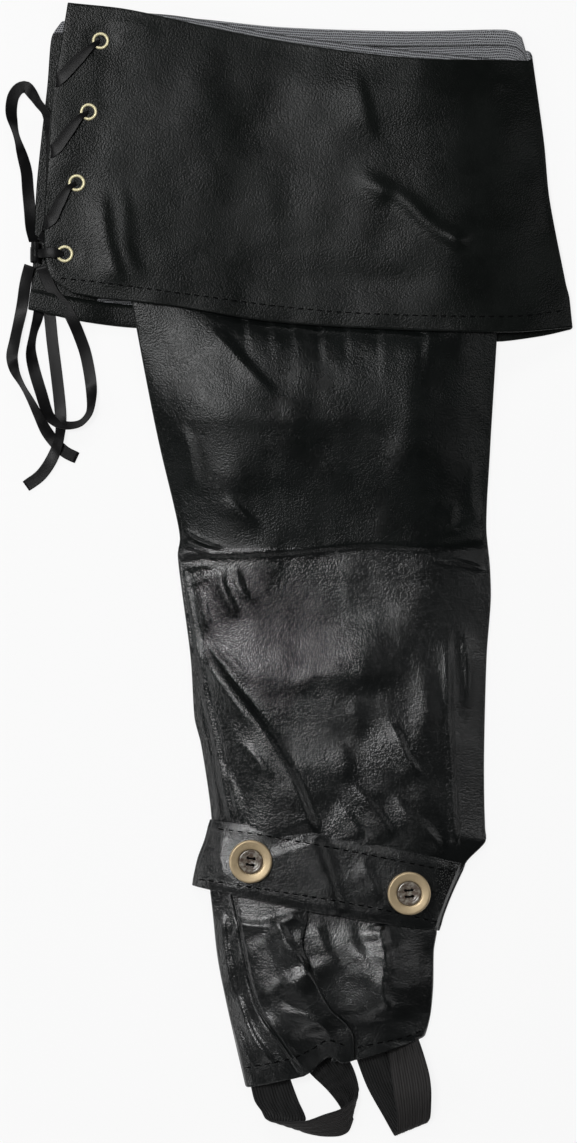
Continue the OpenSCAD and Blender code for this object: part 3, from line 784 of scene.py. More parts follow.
def brushed_group() -> bpy.types.NodeTree:
    """Fine turned lines round a lathed metal part, and patches of tarnish."""
    g = Pattern("brushed_rings", {"Turned": ("NodeSocketVector", None), "Place": ("NodeSocketVector", None)},
                {"Lines": "NodeSocketFloat", "Tarnish": "NodeSocketFloat"})
    stretched = g.node("ShaderNodeVectorMath", {"operation": "MULTIPLY"}, _0=g.given.outputs["Turned"],
                       _1=(40.0, 6000.0, 1.0))
    lines = g.node("ShaderNodeTexNoise", {}, Vector=stretched.outputs[0], Scale=1.0, Detail=3.0)
    g.output("Lines", lines.outputs["Fac"])
    patches = g.node("ShaderNodeTexNoise", {}, Vector=g.given.outputs["Place"], Scale=420.0, Detail=6.0,
                     Roughness=0.65)
    g.output("Tarnish", patches.outputs["Fac"])
    return g.tree


GROUP_MAKERS = {"pebble_grain": pebble_grain_group, "woven_rows": woven_rows_group,
                "brushed_rings": brushed_group}


def group_node(tree: bpy.types.NodeTree, name: str, **links: object) -> bpy.types.Node:
    """Places one of the shared node groups, building it the first time."""
    group = bpy.data.node_groups.get(name) or GROUP_MAKERS[name]()
    return add_node(tree, "ShaderNodeGroup", {"node_tree": group}, **links)


def mix_colors(tree: bpy.types.NodeTree, share: object, a: object, b: object) -> bpy.types.NodeSocket:
    """A colour between a and b."""
    node = tree.nodes.new("ShaderNodeMix")
    node.data_type = "RGBA"
    for number, value in ((0, share), (6, a), (7, b)):
        feed(tree, node.inputs[number], (*value, 1.0) if isinstance(value, tuple) else value)
    return node.outputs[2]


def spread(tree: bpy.types.NodeTree, value: object, low: float, high: float, to_low: float,
           to_high: float) -> bpy.types.NodeSocket:
    """A value moved from one range to another and kept inside it."""
    node = add_node(tree, "ShaderNodeMapRange", {"interpolation_type": "SMOOTHSTEP"}, _0=value, _1=low,
                    _2=high, _3=to_low, _4=to_high)
    return node.outputs[0]


class Shader:
    """A material under construction: its Principled shader and the links into it."""

    def __init__(self, name: str) -> None:
        """Makes the material with a Principled shader and its output."""
        self.material = bpy.data.materials.new(name)
        self.material.use_nodes = True
        self.tree = self.material.node_tree
        self.principled = self.tree.nodes["Principled BSDF"]
        self.place = add_node(self.tree, "ShaderNodeTexCoord")

    def set(self, **values: object) -> None:
        """Sets or links inputs of the Principled shader; _ stands for a space in their names."""
        for key, value in values.items():
            feed(self.tree, self.principled.inputs[key.replace("_", " ")], value)

    def bump(self, height: bpy.types.NodeSocket, distance: float, strength: float = 1.0) -> None:
        """Bumps the surface by a height."""
        node = add_node(self.tree, "ShaderNodeBump", {}, Strength=strength, Distance=distance, Height=height)
        self.tree.links.new(node.outputs[0], self.principled.inputs["Normal"])


@dataclass(frozen=True)
class LeatherFinish:
    """Black leather-look coating with pebble grain.

    Args:
        name: the material's name.
        color: colour of the coating.
        rough: low and high roughness between its smooth and dull patches.
        grain: pebbles per metre.
        depth: height of the grain in metres.
        gloss: the specular level, 0.5 for a usual plastic.
    """

    name: str
    color: tuple
    rough: tuple
    grain: float = 1200.0
    depth: float = 0.00014
    gloss: float = 0.5

    def build(self) -> bpy.types.Material:
        """Makes the material."""
        s = Shader(self.name)
        grain = group_node(s.tree, "pebble_grain", Vector=s.place.outputs["Object"], Scale=self.grain)
        worn = add_node(s.tree, "ShaderNodeAttribute", {"attribute_name": "wear"}).outputs["Fac"]
        flecks = math_node(s.tree, "MULTIPLY", worn, spread(s.tree, grain.outputs["Height"], 0.75, 1.1, 0, 1))
        dull = tuple(c * 1.5 for c in self.color)
        coat = mix_colors(s.tree, spread(s.tree, grain.outputs["Cloud"], 0.35, 0.65, 0, 1), self.color,
                          dull)
        s.set(Base_Color=mix_colors(s.tree, flecks, coat, (0.3, 0.3, 0.29)),
              Roughness=spread(s.tree, grain.outputs["Cloud"], 0.3, 0.7, *self.rough), IOR=1.5,
              Specular_IOR_Level=self.gloss)
        s.bump(grain.outputs["Height"], self.depth)
        return s.material


@dataclass(frozen=True)
class KnitFinish:
    """Thin knitted backing with small dark holes.

    Args:
        name: the material's name.
        color: colour of the threads.
        hole: colour seen between them.
        across, along: threads per metre each way.
    """

    name: str
    color: tuple
    hole: tuple
    across: float
    along: float

    def build(self) -> bpy.types.Material:
        """Makes the material."""
        s = Shader(self.name)
        weave = group_node(s.tree, "woven_rows", Vector=s.place.outputs["UV"], Across=self.across,
                           Along=self.along)
        thread = mix_colors(s.tree, weave.outputs["Tone"], tuple(c * 0.7 for c in self.color),
                            self.color)
        open_part = spread(s.tree, weave.outputs["Hole"], 0.2, 0.8, 0.0, 1.0)
        s.set(Base_Color=mix_colors(s.tree, open_part, thread, self.hole), Roughness=0.85,
              Sheen_Weight=0.25)
        s.bump(weave.outputs["Height"], 0.0004)
        return s.material


@dataclass(frozen=True)
class SatinFinish:
    """Woven satin or elastic: fine threads with a soft sheen.

    Args:
        name: the material's name.
        color: colour of the threads.
        rough: roughness.
        sheen: weight of the sheen.
        across, along: threads per metre each way.
        depth: height of the weave in metres.
        gloss: the specular level.
    """

    name: str
    color: tuple
    rough: float
    sheen: float
    across: float
    along: float
    depth: float
    gloss: float = 0.5

    def build(self) -> bpy.types.Material:
        """Makes the material."""
        s = Shader(self.name)
        weave = group_node(s.tree, "woven_rows", Vector=s.place.outputs["UV"], Across=self.across,
                           Along=self.along)
        s.set(Base_Color=mix_colors(s.tree, weave.outputs["Tone"], self.color,
                                    tuple(c * 1.7 for c in self.color)),
              Roughness=self.rough, Sheen_Weight=self.sheen, Sheen_Roughness=0.4,
              Specular_IOR_Level=self.gloss)
        s.bump(weave.outputs["Height"], self.depth)
        return s.material


@dataclass(frozen=True)
class MetalFinish:
    """Turned and plated metal.

    Args:
        name: the material's name.
        color: the clean plating.
        tarnish: its darker patches.
        share: how much of it the patches take, from 0 to 1.
        rough: roughness.
        lines: height of the turned lines in metres.
        metal: how much of it is bare metal under the lacquer, from 0 to 1.
    """

    name: str
    color: tuple
    tarnish: tuple
    share: float
    rough: float
    lines: float
    metal: float = 1.0

    def build(self) -> bpy.types.Material:
        """Makes the material."""
        s = Shader(self.name)
        look = group_node(s.tree, "brushed_rings", Turned=s.place.outputs["UV"],
                          Place=s.place.outputs["Object"])
        patches = spread(s.tree, look.outputs["Tarnish"], 0.62 - 0.3 * self.share, 0.8, 0.0, self.share)
        s.set(Base_Color=mix_colors(s.tree, patches, self.color, self.tarnish), Metallic=self.metal,
              Roughness=spread(s.tree, look.outputs["Lines"], 0.3, 0.7, self.rough * 0.8, self.rough * 1.25))
        s.bump(look.outputs["Lines"], self.lines)
        return s.material


@dataclass(frozen=True)
class HornFinish:
    """Mottled horn-like plastic, polished.

    Args:
        name: the material's name.
        dark, pale: its two colours.
    """

    name: str
    dark: tuple
    pale: tuple

    def build(self) -> bpy.types.Material:
        """Makes the material."""
        s = Shader(self.name)
        look = group_node(s.tree, "brushed_rings", Turned=s.place.outputs["UV"],
                          Place=s.place.outputs["Object"])
        mottle = spread(s.tree, look.outputs["Tarnish"], 0.42, 0.66, 0, 1)
        s.set(Base_Color=mix_colors(s.tree, mottle, self.dark, self.pale), Roughness=0.22,
              Coat_Weight=0.4)
        s.bump(look.outputs["Lines"], 0.00002)
        return s.material


CUFF_LEATHER = LeatherFinish("cuff_leather", (0.004, 0.0048, 0.0044), (0.22, 0.3), depth=0.00009,
                             gloss=0.11)
UPPER_LEATHER = LeatherFinish("upper_leg_leather", (0.0036, 0.0044, 0.0042), (0.2, 0.28),
                              depth=0.0001, gloss=0.17)
LEG_LEATHER = LeatherFinish("leg_leather", (0.003, 0.0036, 0.0036), (0.17, 0.25))
FOOT_LEATHER = LeatherFinish("foot_leather", (0.003, 0.0036, 0.0037), (0.21, 0.29), depth=0.00012,
                             gloss=0.6)
KNIT = KnitFinish("knit_backing", (0.39, 0.4, 0.42), (0.012, 0.012, 0.014), 1000.0, 760.0)
RIBBON = SatinFinish("black_satin", (0.0026, 0.0026, 0.0028), 0.36, 0.0, 2400.0, 1500.0, 0.00001, 0.12)
ELASTIC = SatinFinish("ribbed_elastic", (0.0024, 0.0024, 0.0025), 0.6, 0.0, 700.0, 1300.0, 0.00016, 0.35)
ELASTIC_BACK = SatinFinish("smooth_elastic", (0.006, 0.005, 0.0048), 0.7, 0.03, 900.0, 1600.0, 0.0001)
THREAD = SatinFinish("black_thread", (0.0012, 0.0012, 0.0013), 0.8, 0.0, 3000.0, 3000.0, 0.00004, 0.06)
EYELET_METAL = MetalFinish("plated_brass", (0.6, 0.55, 0.34), (0.46, 0.4, 0.22), 0.2, 0.34, 0.000002, 0.3)
BUTTON_METAL = MetalFinish("antique_brass", (0.5, 0.39, 0.24), (0.3, 0.22, 0.13), 0.5, 0.36, 0.00001, 0.55)
HORN = HornFinish("mottled_horn", (0.09, 0.065, 0.05), (0.26, 0.24, 0.2))


def dress(obj: bpy.types.Object, *finishes: object) -> bpy.types.Object:
    """Gives a piece its materials, in the order of its material numbers."""
    for finish in finishes:
        obj.data.materials.append(bpy.data.materials.get(finish.name) or finish.build())
    return obj


def turned(name: str, profile: object, sides: int, places: object, finish: object,
           up: int = 1) -> bpy.types.Object:
    """A turned part, repeated at each of some places.

    Args:
        name: the piece's name.
        profile: radius and height pairs in millimetres.
        sides: how many steps round.
        places: the middle of each, in millimetres.
        finish: its finish.
        up: -1 to turn it over.

    Returns:
        The object.
    """
    points, faces, uv = lathe(profile, sides)
    every = np.concatenate([points * np.array([1, up, up]) + place for place in places])
    numbered = [[i + k * len(points) for i in f] for k in range(len(places)) for f in faces]
    return dress(new_object(name, every, numbered, np.tile(uv, (len(places), 1))), finish)


def ring_faces(first: int, rings: int, sides: int) -> list:
    """The faces of a tube whose rings of vertices are numbered on from the first."""
    around = [(k, (k + 1) % sides) for k in range(sides)]
    starts = [first + ring * sides for ring in range(rings - 1)]
    return [[s + a, s + b, s + b + sides, s + a + sides] for s in starts for a, b in around]


# ---- Fabric pieces ---------------------------------------------------------------------------

# In millimetres: the fabric's thickness, the room between two sewn layers, how far an eyelet's rim stands
# above the fabric and how far round its middle the fabric lies flat.
FABRIC = 0.9
SEAM_GAP = 0.1
RIM_STANDS = 0.8
EYELET_FLAT = 8.5

# A ribbon's thickness in millimetres and its points across; the same and the ribs for the elastic.
RIBBON_THICK, RIBBON_COLUMNS = 0.4, 5
ELASTIC_THICK, ELASTIC_COLUMNS, ELASTIC_RIBS = 0.9, 71, 14

# What of the cuff shows its coating at the laced side, in metres: left of this x and below this y.
LACED_X, LACED_Y = -0.105, 0.285
KNIT_ROWS = 9

# The band's edge is worn to the right of this x, over this width in millimetres and by this much.
WEAR_X, WEAR_WIDTH, WEAR_MOST = 68, 8, 0.3


def swell(u: np.ndarray, flat: object = 0.0, steep: bool = False) -> np.ndarray:
    """How the front of a flattened tube rises over its width, from 0 to 1.

    Args:
        u: share of the width.
        flat: share at the left that stays flat.
        steep: whether both sides rise steeply, as a stiff band's do.

    Returns:
        The rise at each place.
    """
    if steep:
        return (rounding(4 * u) * rounding(4 - 4 * u)) ** 0.6
    lying = np.clip(np.asarray(flat) / 0.1, 0, 1)
    left = (1 - lying) * rounding(4 * u) + lying * np.clip((u - flat) / 0.85, 0, 1)
    return left * rounding(4 - 4 * u)


def leaning(u: np.ndarray, left: object, right: object) -> np.ndarray:
    """A level that goes from the left edge's to the right edge's in the left half."""
    return right + (left - right) * (1 - ramp(2.5 * (u - 0.1)))


def face(plan: np.ndarray, level: np.ndarray, folds: tuple, seed: int, wave: float,
         longest: float = 60.0) -> np.ndarray:
    """The outer face of a front piece: its plan raised to its level and folded.

    Args:
        plan: the grid in plan.
        level: the height of each point without folds.
        folds: the folds that lie on it.
        seed: for its ripples.
        wave: height of the ripples.
        longest: their longest wavelength.

    Returns:
        A grid of points in millimetres.
    """
    rows, columns = plan.shape[:2]
    xy = plan.reshape(-1, 2)
    lift = sum(fold.lift(xy) for fold in folds) + ripples(xy, seed, longest, wave)
    lift = lift + ripples(xy, seed + 50, 0.3 * longest, 0.14 * wave)
    u = np.linspace(0, 1, columns)
    near = rounding(14 * u) * rounding(14 * (1 - u))
    z = level + lift.reshape(rows, columns) * near
    return np.concatenate([plan, z[..., None]], 2)


def pressed(grid: np.ndarray, cover: bpy.types.Object, gap: float, least: float) -> None:
    """Presses a face down where a piece covers it, easing off below that piece's hem.

    Args:
        grid: the face, rows from the top down, which is changed.
        cover: the piece that covers it.
        gap: how far under that piece's outer face it has to stay.
        least: the height below which it isn't pressed.
    """
    tree = tree_of(cover)
    drop = np.zeros(grid.shape[1])
    before = grid[0]
    for row in grid:
        drop = drop * np.exp(-np.abs(before[:, 1] - row[:, 1]) / 9)
        before = row.copy()
        for k, (x, y, z) in enumerate(row):
            hit = tree.ray_cast(Vector((x * MM, y * MM, 0.2)), Vector((0, 0, -1)))[0]
            if hit is not None and hit.z / MM > least:
                drop[k] = max(0, z - max(hit.z / MM - gap, least))
        row[:, 2] -= drop


def under(plan: np.ndarray, level: object) -> np.ndarray:
    """The outer face of a back piece, which lies face down at a level, columns from right to left."""
    z = np.broadcast_to(level, plan.shape[:2])[..., None]
    return np.concatenate([plan, z], 2)[:, ::-1]


def tube(front: np.ndarray, back: np.ndarray, left_open: bool = False) -> np.ndarray:
    """Joins a front and a back face round the right side, and round the left unless it is open."""
    parts = [front, edge_arc(front[:, -1], back[:, 0]), back]
    if not left_open:
        parts.append(edge_arc(back[:, -1], front[:, 0]))
    return np.concatenate(parts, 1)


def pixels_of(places: np.ndarray) -> np.ndarray:
    """Where places, in metres, show in the photograph's frame."""
    cam = bpy.context.scene.camera
    far = places - np.array(cam.location)
    longer = max(PHOTO_W, PHOTO_H)
    scale = longer * cam.data.lens / cam.data.sensor_width / -far[:, 2]
    return np.stack([PHOTO_W / 2 + far[:, 0] * scale - cam.data.shift_x * longer,
                     PHOTO_H / 2 - far[:, 1] * scale + cam.data.shift_y * longer], 1)


def on_surface(pixel: tuple, tree: BVHTree) -> np.ndarray:
    """The place on a surface that shows at a point of the photograph's frame.

    Args:
        pixel: x and y in that frame.
        tree: the surface, as finished and placed.

    Returns:
        The place in millimetres, or the one nearest to the ray where the ray misses.
    """
    cam = bpy.context.scene.camera
    data, longer = cam.data, max(PHOTO_W, PHOTO_H)
    ray = Vector((pixel[0] - PHOTO_W / 2 + data.shift_x * longer,
                  PHOTO_H / 2 - pixel[1] + data.shift_y * longer,
                  -longer * data.lens / data.sensor_width)).normalized()
    hit = tree.ray_cast(cam.location, ray)[0]
    if hit is None:
        hit = tree.find_nearest(cam.location + ray * (cam.location.z / -ray.z))[0]
    return np.array(hit) / MM


def settled(route: object, point: str, ground: bpy.types.Object) -> np.ndarray:
    """A route in plan, moved square to itself so that it passes an image point on a piece."""
    line = smooth_line(route, 200)
    place = on_surface(IMAGE_POINTS[point], tree_of(ground))[:2]
    return np.asarray(route, float) + place - line[np.hypot(*(line - place).T).argmin()]


def stitches(name: str, ground: bpy.types.Object, route: object, length: float = 3.4, pitch: float = 5.0,
             radius: float = 0.3) -> bpy.types.Object:
    """A row of stitches along a route on a piece.

    Args:
        name: the row's name.
        ground: the piece that they lie on.
        route: the route in plan, in millimetres.
        length: of each stitch.
        pitch: from stitch to stitch.
        radius: of the thread.

    Returns:
        The object.
    """
    tree = tree_of(ground)
    top = max(v.co.z for v in ground.data.vertices) / MM
    whole = float(np.linalg.norm(np.diff(smooth_line(route, 200), axis=0), axis=1).sum())
    count = int(whole / pitch)
    line = smooth_line(route, count * 8 + 1)
    points, faces = [], []
    sides = 6
    for k in range(count):
        shares = np.linspace((k + 0.1) / count, (k + 0.1 + length / pitch) / count, 6)
        run = resample(line, np.clip(shares, 0, 1))
        along = run[-1] - run[0]
        along /= np.linalg.norm(along)
        side = np.array([-along[1], along[0], 0])
        first = len(points)
        for j, place in enumerate(run):
            thick = radius * (0.35, 0.9, 1, 1, 0.9, 0.35)[j]
            sunk = (0.25, 0.0, -0.05, -0.05, 0.0, 0.25)[j]
            seen = on_surface(pixels_of(np.array([[*place, top]]) * MM)[0], tree)
            seen[2] += thick * 0.35 - sunk
            for a in range(sides):
                turn = 2 * math.pi * a / sides
                points.append(seen + side * thick * 1.2 * math.cos(turn)
                              + np.array([0, 0, thick * math.sin(turn)]))
        faces += ring_faces(first, len(run), sides)
        faces.append([first + a for a in range(sides)][::-1])
        faces.append([first + (len(run) - 1) * sides + a for a in range(sides)])
    return dress(new_object(name, np.array(points), faces), THREAD)


def knit_inside(obj: bpy.types.Object, rows: int, columns: int, first: int) -> None:
    """Shows the knitted backing on the turned-in top of a tube's back.

    Args:
        obj: the tube.
        rows: how many rows of faces from the top are turned in.
        columns: how many faces lie in each row.
        first: the first column of the back.
    """
    for row in range(rows):
        for column in range(first, columns):
            obj.data.polygons[row * columns + column].material_index = 1


@dataclass
class Cuff:
    """The turned-down cuff: a front and a back, joined at the right and open at the laced left.

    Args:
        wide, tall: its size in millimetres, by which its mesh is divided.
    """

    wide: float = 262
    tall: float = 146
    top: tuple = ((-122.7, 300.8), (-92, 297.3), (-36.3, 285.4), (12, 276.9), (64, 270.8), (121.6, 270.6))
    left: tuple = (
        (-122.7, 300.8), (-125.8, 282), (-130.1, 258), (-132.8, 224.5), (-135.2, 180), (-134.4, 163.5),
        (-131.2, 155), (-120.6, 147.6))
    hem: tuple = (
        (-120.6, 147.6), (-105.7, 145), (-87, 143), (-62.8, 140.2), (-20.9, 133.3), (17.2, 130.1),
        (74.5, 127.5), (116.3, 127.5), (143.9, 130.1))
    right: tuple = ((121.6, 270.6), (128.5, 227), (131.7, 198), (141.8, 148), (143.9, 130.1))
    back_top: tuple = (
        (-126.4, 291.8), (-66, 293.4), (-10, 288), (57, 285.6), (110, 286.2), (118, 283.5), (121, 275))
    back_left: tuple = (
        (-126.4, 291.8), (-131.5, 284), (-133.8, 258), (-137, 230), (-139.7, 202), (-141.8, 157),
        (-143.9, 139.7))
    back_hem: tuple = (
        (-143.9, 139.7), (-115, 133.3), (-88.8, 130.1), (0, 126), (104.7, 122.7), (130, 125.9), (143.4, 129))
    back_right: tuple = ((120.5, 276), (128.2, 227), (131.5, 198), (141.5, 148), (143.4, 129))
    stitch: tuple = (
        (-127, 154.5), (-111, 152.9), (-78.7, 148.7), (-16.2, 140.2), (24.1, 136.4), (70.8, 134.6),
        (117.9, 134.6), (139.5, 137.6))
    folds: tuple = (
        Fold(((-93, 150), (-100.5, 176), (-104, 208)), 2.0, 3.0, STEP, 8, (0.2, 0.4)),
        Fold(((-80, 150), (-90, 170), (-91, 190), (-96, 212)), 1.2, 2.8, STEP, 7, (0.3, 0.4)),
        Fold(((42, 224), (36, 246), (30, 270)), 1.2, 2.0, STEP, 8, (0.4, 0.5)),
        Fold(((30, 210), (54.9, 197), (70, 183), (88, 172)), 1.3, 4.0, SWELL, ends=(0.5, 0.1)),
        Fold(((76, 182), (88, 172)), 1.5, 4.5, SWELL, ends=(0.9, 0.1)),
        Fold(((26, 214), (40, 204), (48, 196)), 1.2, 5.0, SWELL, ends=(0.8, 0.2)),
        Fold(((-12, 160), (-12, 190), (-14, 216)), 0.9, 7.0, STEP, 16, (0.4, 0.5)),
        Fold(((131, 176), (127, 200), (124, 222)), 0.9, 2.0, STEP, 6, (0.4, 0.4)),
        Fold(((-72, 287), (-88, 291), (-104, 293)), 0.7, 1.6, STEP, 6, (0.3, 0.5)),
        Fold(((-42, 214), (-40, 240), (-52, 268)), 1.0, 9.0, STEP, 20, (0.5, 0.5)),
        Fold(((112, 254), (104, 262), (98, 270)), 0.8, 2.2, STEP, 6, (0.4, 0.3)),
        Fold(((-40, 160), (30, 152), (96, 158)), -0.8, 9.0, SWELL, ends=(0.4, 0.4)),
    )

    def build(self) -> list:
        """Makes the cuff and its stitches.

        Returns:
            The pieces.
        """
        side_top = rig.box("cuff_back")[1].z / MM + SEAM_GAP + FABRIC
        margin_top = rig.box("eyelets_front")[1].z / MM - RIM_STANDS
        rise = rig.box("cuff_front")[1].z / MM - side_top
        across = shares_along(self.wide, 2.3)
        down = shares_along(self.tall, 2.2, 0.8)
        plan = patch(self.top, self.hem, self.left, self.right, across, down)
        level = leaning(across, margin_top, side_top) + rise * 0.86 * swell(across, 0.1)
        level = level[None] - (1.2 * (1 - ramp(down / 0.16)) * swell(across, 0.1)[None].T).T
        front = face(plan, level, self.folds, 5, 0.42, 80)
        for x, y in Lacing().places():
            near = np.exp(-(np.hypot(front[..., 0] - x, front[..., 1] - y) / EYELET_FLAT) ** 8)
            front[..., 2] += near * (margin_top - 0.08 - front[..., 2])
        across = shares_along(self.wide, 5)
        plan = patch(self.back_top, self.back_hem, self.back_left, self.back_right, across, down)
        lower = 1.4 * np.outer(ramp((down - 0.84) / 0.06), ramp((across - 0.1) / 0.06))
        back = under(plan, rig.box("cuff_back")[1].z / MM - 1 - lower)
        outer = tube(front, back, left_open=True)
        outer = turned_under(turned_under(outer, 1.0, 9.0), 0.7, 7.0, top=True)
        cuff = dress(shell("cuff", outer, FABRIC), CUFF_LEATHER, KNIT)
        knit_inside(cuff, rows=KNIT_ROWS, columns=outer.shape[1] - 1, first=front.shape[1])
        for polygon in cuff.data.polygons:
            if polygon.center.x < LACED_X and polygon.center.y < LACED_Y:
                polygon.material_index = 0
        row = settled(self.stitch, "cuff_hem_stitch", cuff)
        return [cuff, stitches("cuff_hem_stitches", cuff, row)]


@dataclass
class LegTube:
    """The leg: one flattened tube from inside the cuff to inside the ankle band, creased across.

    Args:
        wide, tall: its size in millimetres, by which its mesh is divided.
        crease_share: how far down the leg the packing crease lies, as a share of its length.
    """

    wide: float = 165
    tall: float = 465
    crease_share: float = 0.589
    left: tuple = (
        (-118.7, 297.2), (-103, 220), (-88.2, 141.8), (-75.5, 75), (-64.4, 27), (-62.8, 16.7), (-64, 8.7),
        (-61.6, -11.4), (-57, -46.4), (-54.9, -78.7), (-51.5, -92), (-45.8, -131.2), (-44.6, -166))
    right: tuple = (
        (112.7, 267.3), (104.1, 122.7), (99.9, 49.6), (98.8, 22), (100.6, 2), (101, -15.6), (98.8, -45.3),
        (97.4, -100), (97.8, -137.5), (98.4, -143.6), (88.5, -154), (76, -176), (70.5, -189))
    top: tuple = ((-118.7, 297.2), (-66, 289.6), (-10, 277.2), (57, 268.6), (112.7, 267.3))
    low: tuple = ((-44.6, -166), (10, -178), (70.5, -189))
    back_top: tuple = ((-117.4, 289.8), (-66, 292), (-10, 286.6), (57, 284.2), (108, 283.2), (113.5, 280))
    crease: tuple = ((-64, 7), (-33.1, 7.7), (2.4, 9.8), (22, 12.2), (42.1, 13), (68.1, 11.4), (100, 15.6))
    seam: tuple = (
        (-61.7, 5.6), (-58.6, -15.1), (-54.3, -39.5), (-49.6, -68.6), (-44.8, -89.8), (-39.5, -117.9),
        (-36, -133))
    upper_folds: tuple = (
        Fold(((-8, 90), (-24, 106), (-38, 122), (-48, 130)), 1.7, 1.6, STEP, 9, (0.4, 0.2)),
        Fold(((-55, 40), (-56, 60), (-62, 82)), 1.2, 1.4, STEP, 6, (0.4, 0.4)),
        Fold(((-18, 22), (-28, 30), (-40, 42)), 1.3, 1.4, STEP, 7, (0.5, 0.4)),
        Fold(((84, 18), (82, 26), (84, 36)), 1.3, 1.2, STEP, 5, (0.4, 0.3)),
        Fold(((96, 24), (93, 40), (95, 62)), 1.5, 1.2, STEP, 4, (0.4, 0.4)),
        Fold(((4, 34), (2, 76), (8, 118)), 1.2, 12.0, STEP, 22, (0.4, 0.4)),
        Fold(((52, 40), (60, 80), (58, 118)), 0.9, 11.0, SWELL, ends=(0.4, 0.4)),
        Fold(((-20, 60), (10, 66), (44, 58)), -0.8, 9.0, SWELL, ends=(0.5, 0.5)),
    )
    crease_folds: tuple = (
        Fold(((-62, 21), (-52, 15), (-38, 11)), 1.6, 1.2, ends=(0.1, 0.5)),
        Fold(((-62, 14), (-53, 11), (-46, 9)), 1.2, 0.9, ends=(0.1, 0.5)),
        Fold(((-61, 1), (-52, 3), (-40, 3)), 1.6, 1.0, ends=(0.1, 0.5)),
        Fold(((-60, -8), (-50, -3), (-44, 2)), 1.3, 1.0, ends=(0.2, 0.5)),
        Fold(((-30, -27), (-36, -16), (-40, -6), (-39, 4)), 2.0, 1.0, STEP, 5, (0.4, 0.3)),
        Fold(((-19, -14), (-27, -13), (-31, -6), (-33, 4)), 1.7, 0.9, STEP, 4, (0.5, 0.3)),
        Fold(((-46, -34), (-49, -20), (-50, -8)), 1.5, 1.0, STEP, 5, (0.4, 0.4)),
        Fold(((100, 0), (86, 4), (66, 6)), 1.2, 1.6, ends=(0.2, 0.5)),
        Fold(((99, 30), (88, 23), (70, 19)), 1.0, 1.8, ends=(0.2, 0.5)),
    )
    lower_folds: tuple = (
        Fold(((46, -66), (44, -40), (38, -20)), 2.4, 12.0, STEP, 50, (0.3, 0.3)),
        Fold(((20, -84), (22, -56), (16, -40)), 1.5, 26.0, SWELL, ends=(0.4, 0.3)),
        Fold(((-4, -74), (6, -58), (8, -40)), 1.2, 5.0, STEP, 14, (0.4, 0.4)),
        Fold(((10, -141), (0, -114), (-12, -92), (-26, -72), (-40, -54), (-55, -32)), 3.2, 1.4,
             STEP, 24, (0.08, 0.2)),
        Fold(((-22, -84), (-34, -68), (-46, -52), (-56, -36)), 1.4, 1.2, STEP, 5, (0.3, 0.3)),
        Fold(((-24, -58), (-36, -46), (-48, -36)), 1.3, 1.3, STEP, 6, (0.4, 0.4)),
        Fold(((-12, -112), (-22, -98), (-34, -86)), 1.1, 1.0, STEP, 5, (0.3, 0.5)),
        Fold(((-30, -132), (-34, -116), (-42, -98)), 1.4, 1.5, STEP, 9, (0.2, 0.4)),
        Fold(((85, -148), (83, -122), (81.9, -100), (80.6, -77), (80, -30)), 2.6, 0.9, STEP, 5,
             (0.05, 0.2)),
        Fold(((86, -28), (90, -50), (89, -80)), 1.4, 3.0, RIDGE, ends=(0.3, 0.4)),
        Fold(((66, -108), (58, -98), (52, -84), (44, -76)), 1.9, 1.0, STEP, 7, (0.2, 0.5)),
        Fold(((30, -92), (33, -80), (28, -66)), 1.5, 3.0, STEP, 9, (0.4, 0.4)),
        Fold(((24, -116), (26, -100), (22, -88)), 1.0, 3.0, STEP, 10, (0.4, 0.4)),
        Fold(((52, -142), (44, -130), (34, -118), (24, -110)), 1.7, 1.3, STEP, 8, (0.2, 0.4)),
        Fold(((34, -142), (28, -130), (18, -122)), 1.1, 1.4, STEP, 8, (0.2, 0.4)),
        Fold(((78, -150), (70, -138), (58, -128), (50, -116)), 1.8, 1.4, STEP, 8, (0.1, 0.4)),
        Fold(((66, -92), (68, -66), (64, -44)), 1.0, 6.0, SWELL, ends=(0.4, 0.4)),
    )

    def levels(self, y: np.ndarray, u: np.ndarray) -> np.ndarray:
        """The height of the front's outer face at rest, without folds.

        Args:
            y: how far up each point lies.
            u: its share of the width.

        Returns:
            The heights.
        """
        fold_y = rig.box("leg_front_lower")[1].y / MM
        places = [-200, -150, -140, -125, -90, fold_y - 32, fold_y - 18, fold_y - 6, fold_y + 6, fold_y + 28,
                  fold_y + 60, 110, 140, 300]
        base = np.interp(y, places, [2.4, 2.3, 1.6, 1.1, 1.1, 1.1, 1.1, 1.1, 1.1, 1.1, 1.9, 3.3, 4.3, 4.3])
        rises = [6.5, 7, 8.5, 10, 9.6, 6.4, 4.8, 5.6, 6.4, 7.8, 9.8, 10, 9, 9]
        rise = np.mean([np.interp(y + off, places, rises) for off in (-20, -10, 0, 10, 20)], 0)
        flat = np.interp(y, [80, 150], [0, 0.1])
        return base + rise * swell(u, flat) + FABRIC

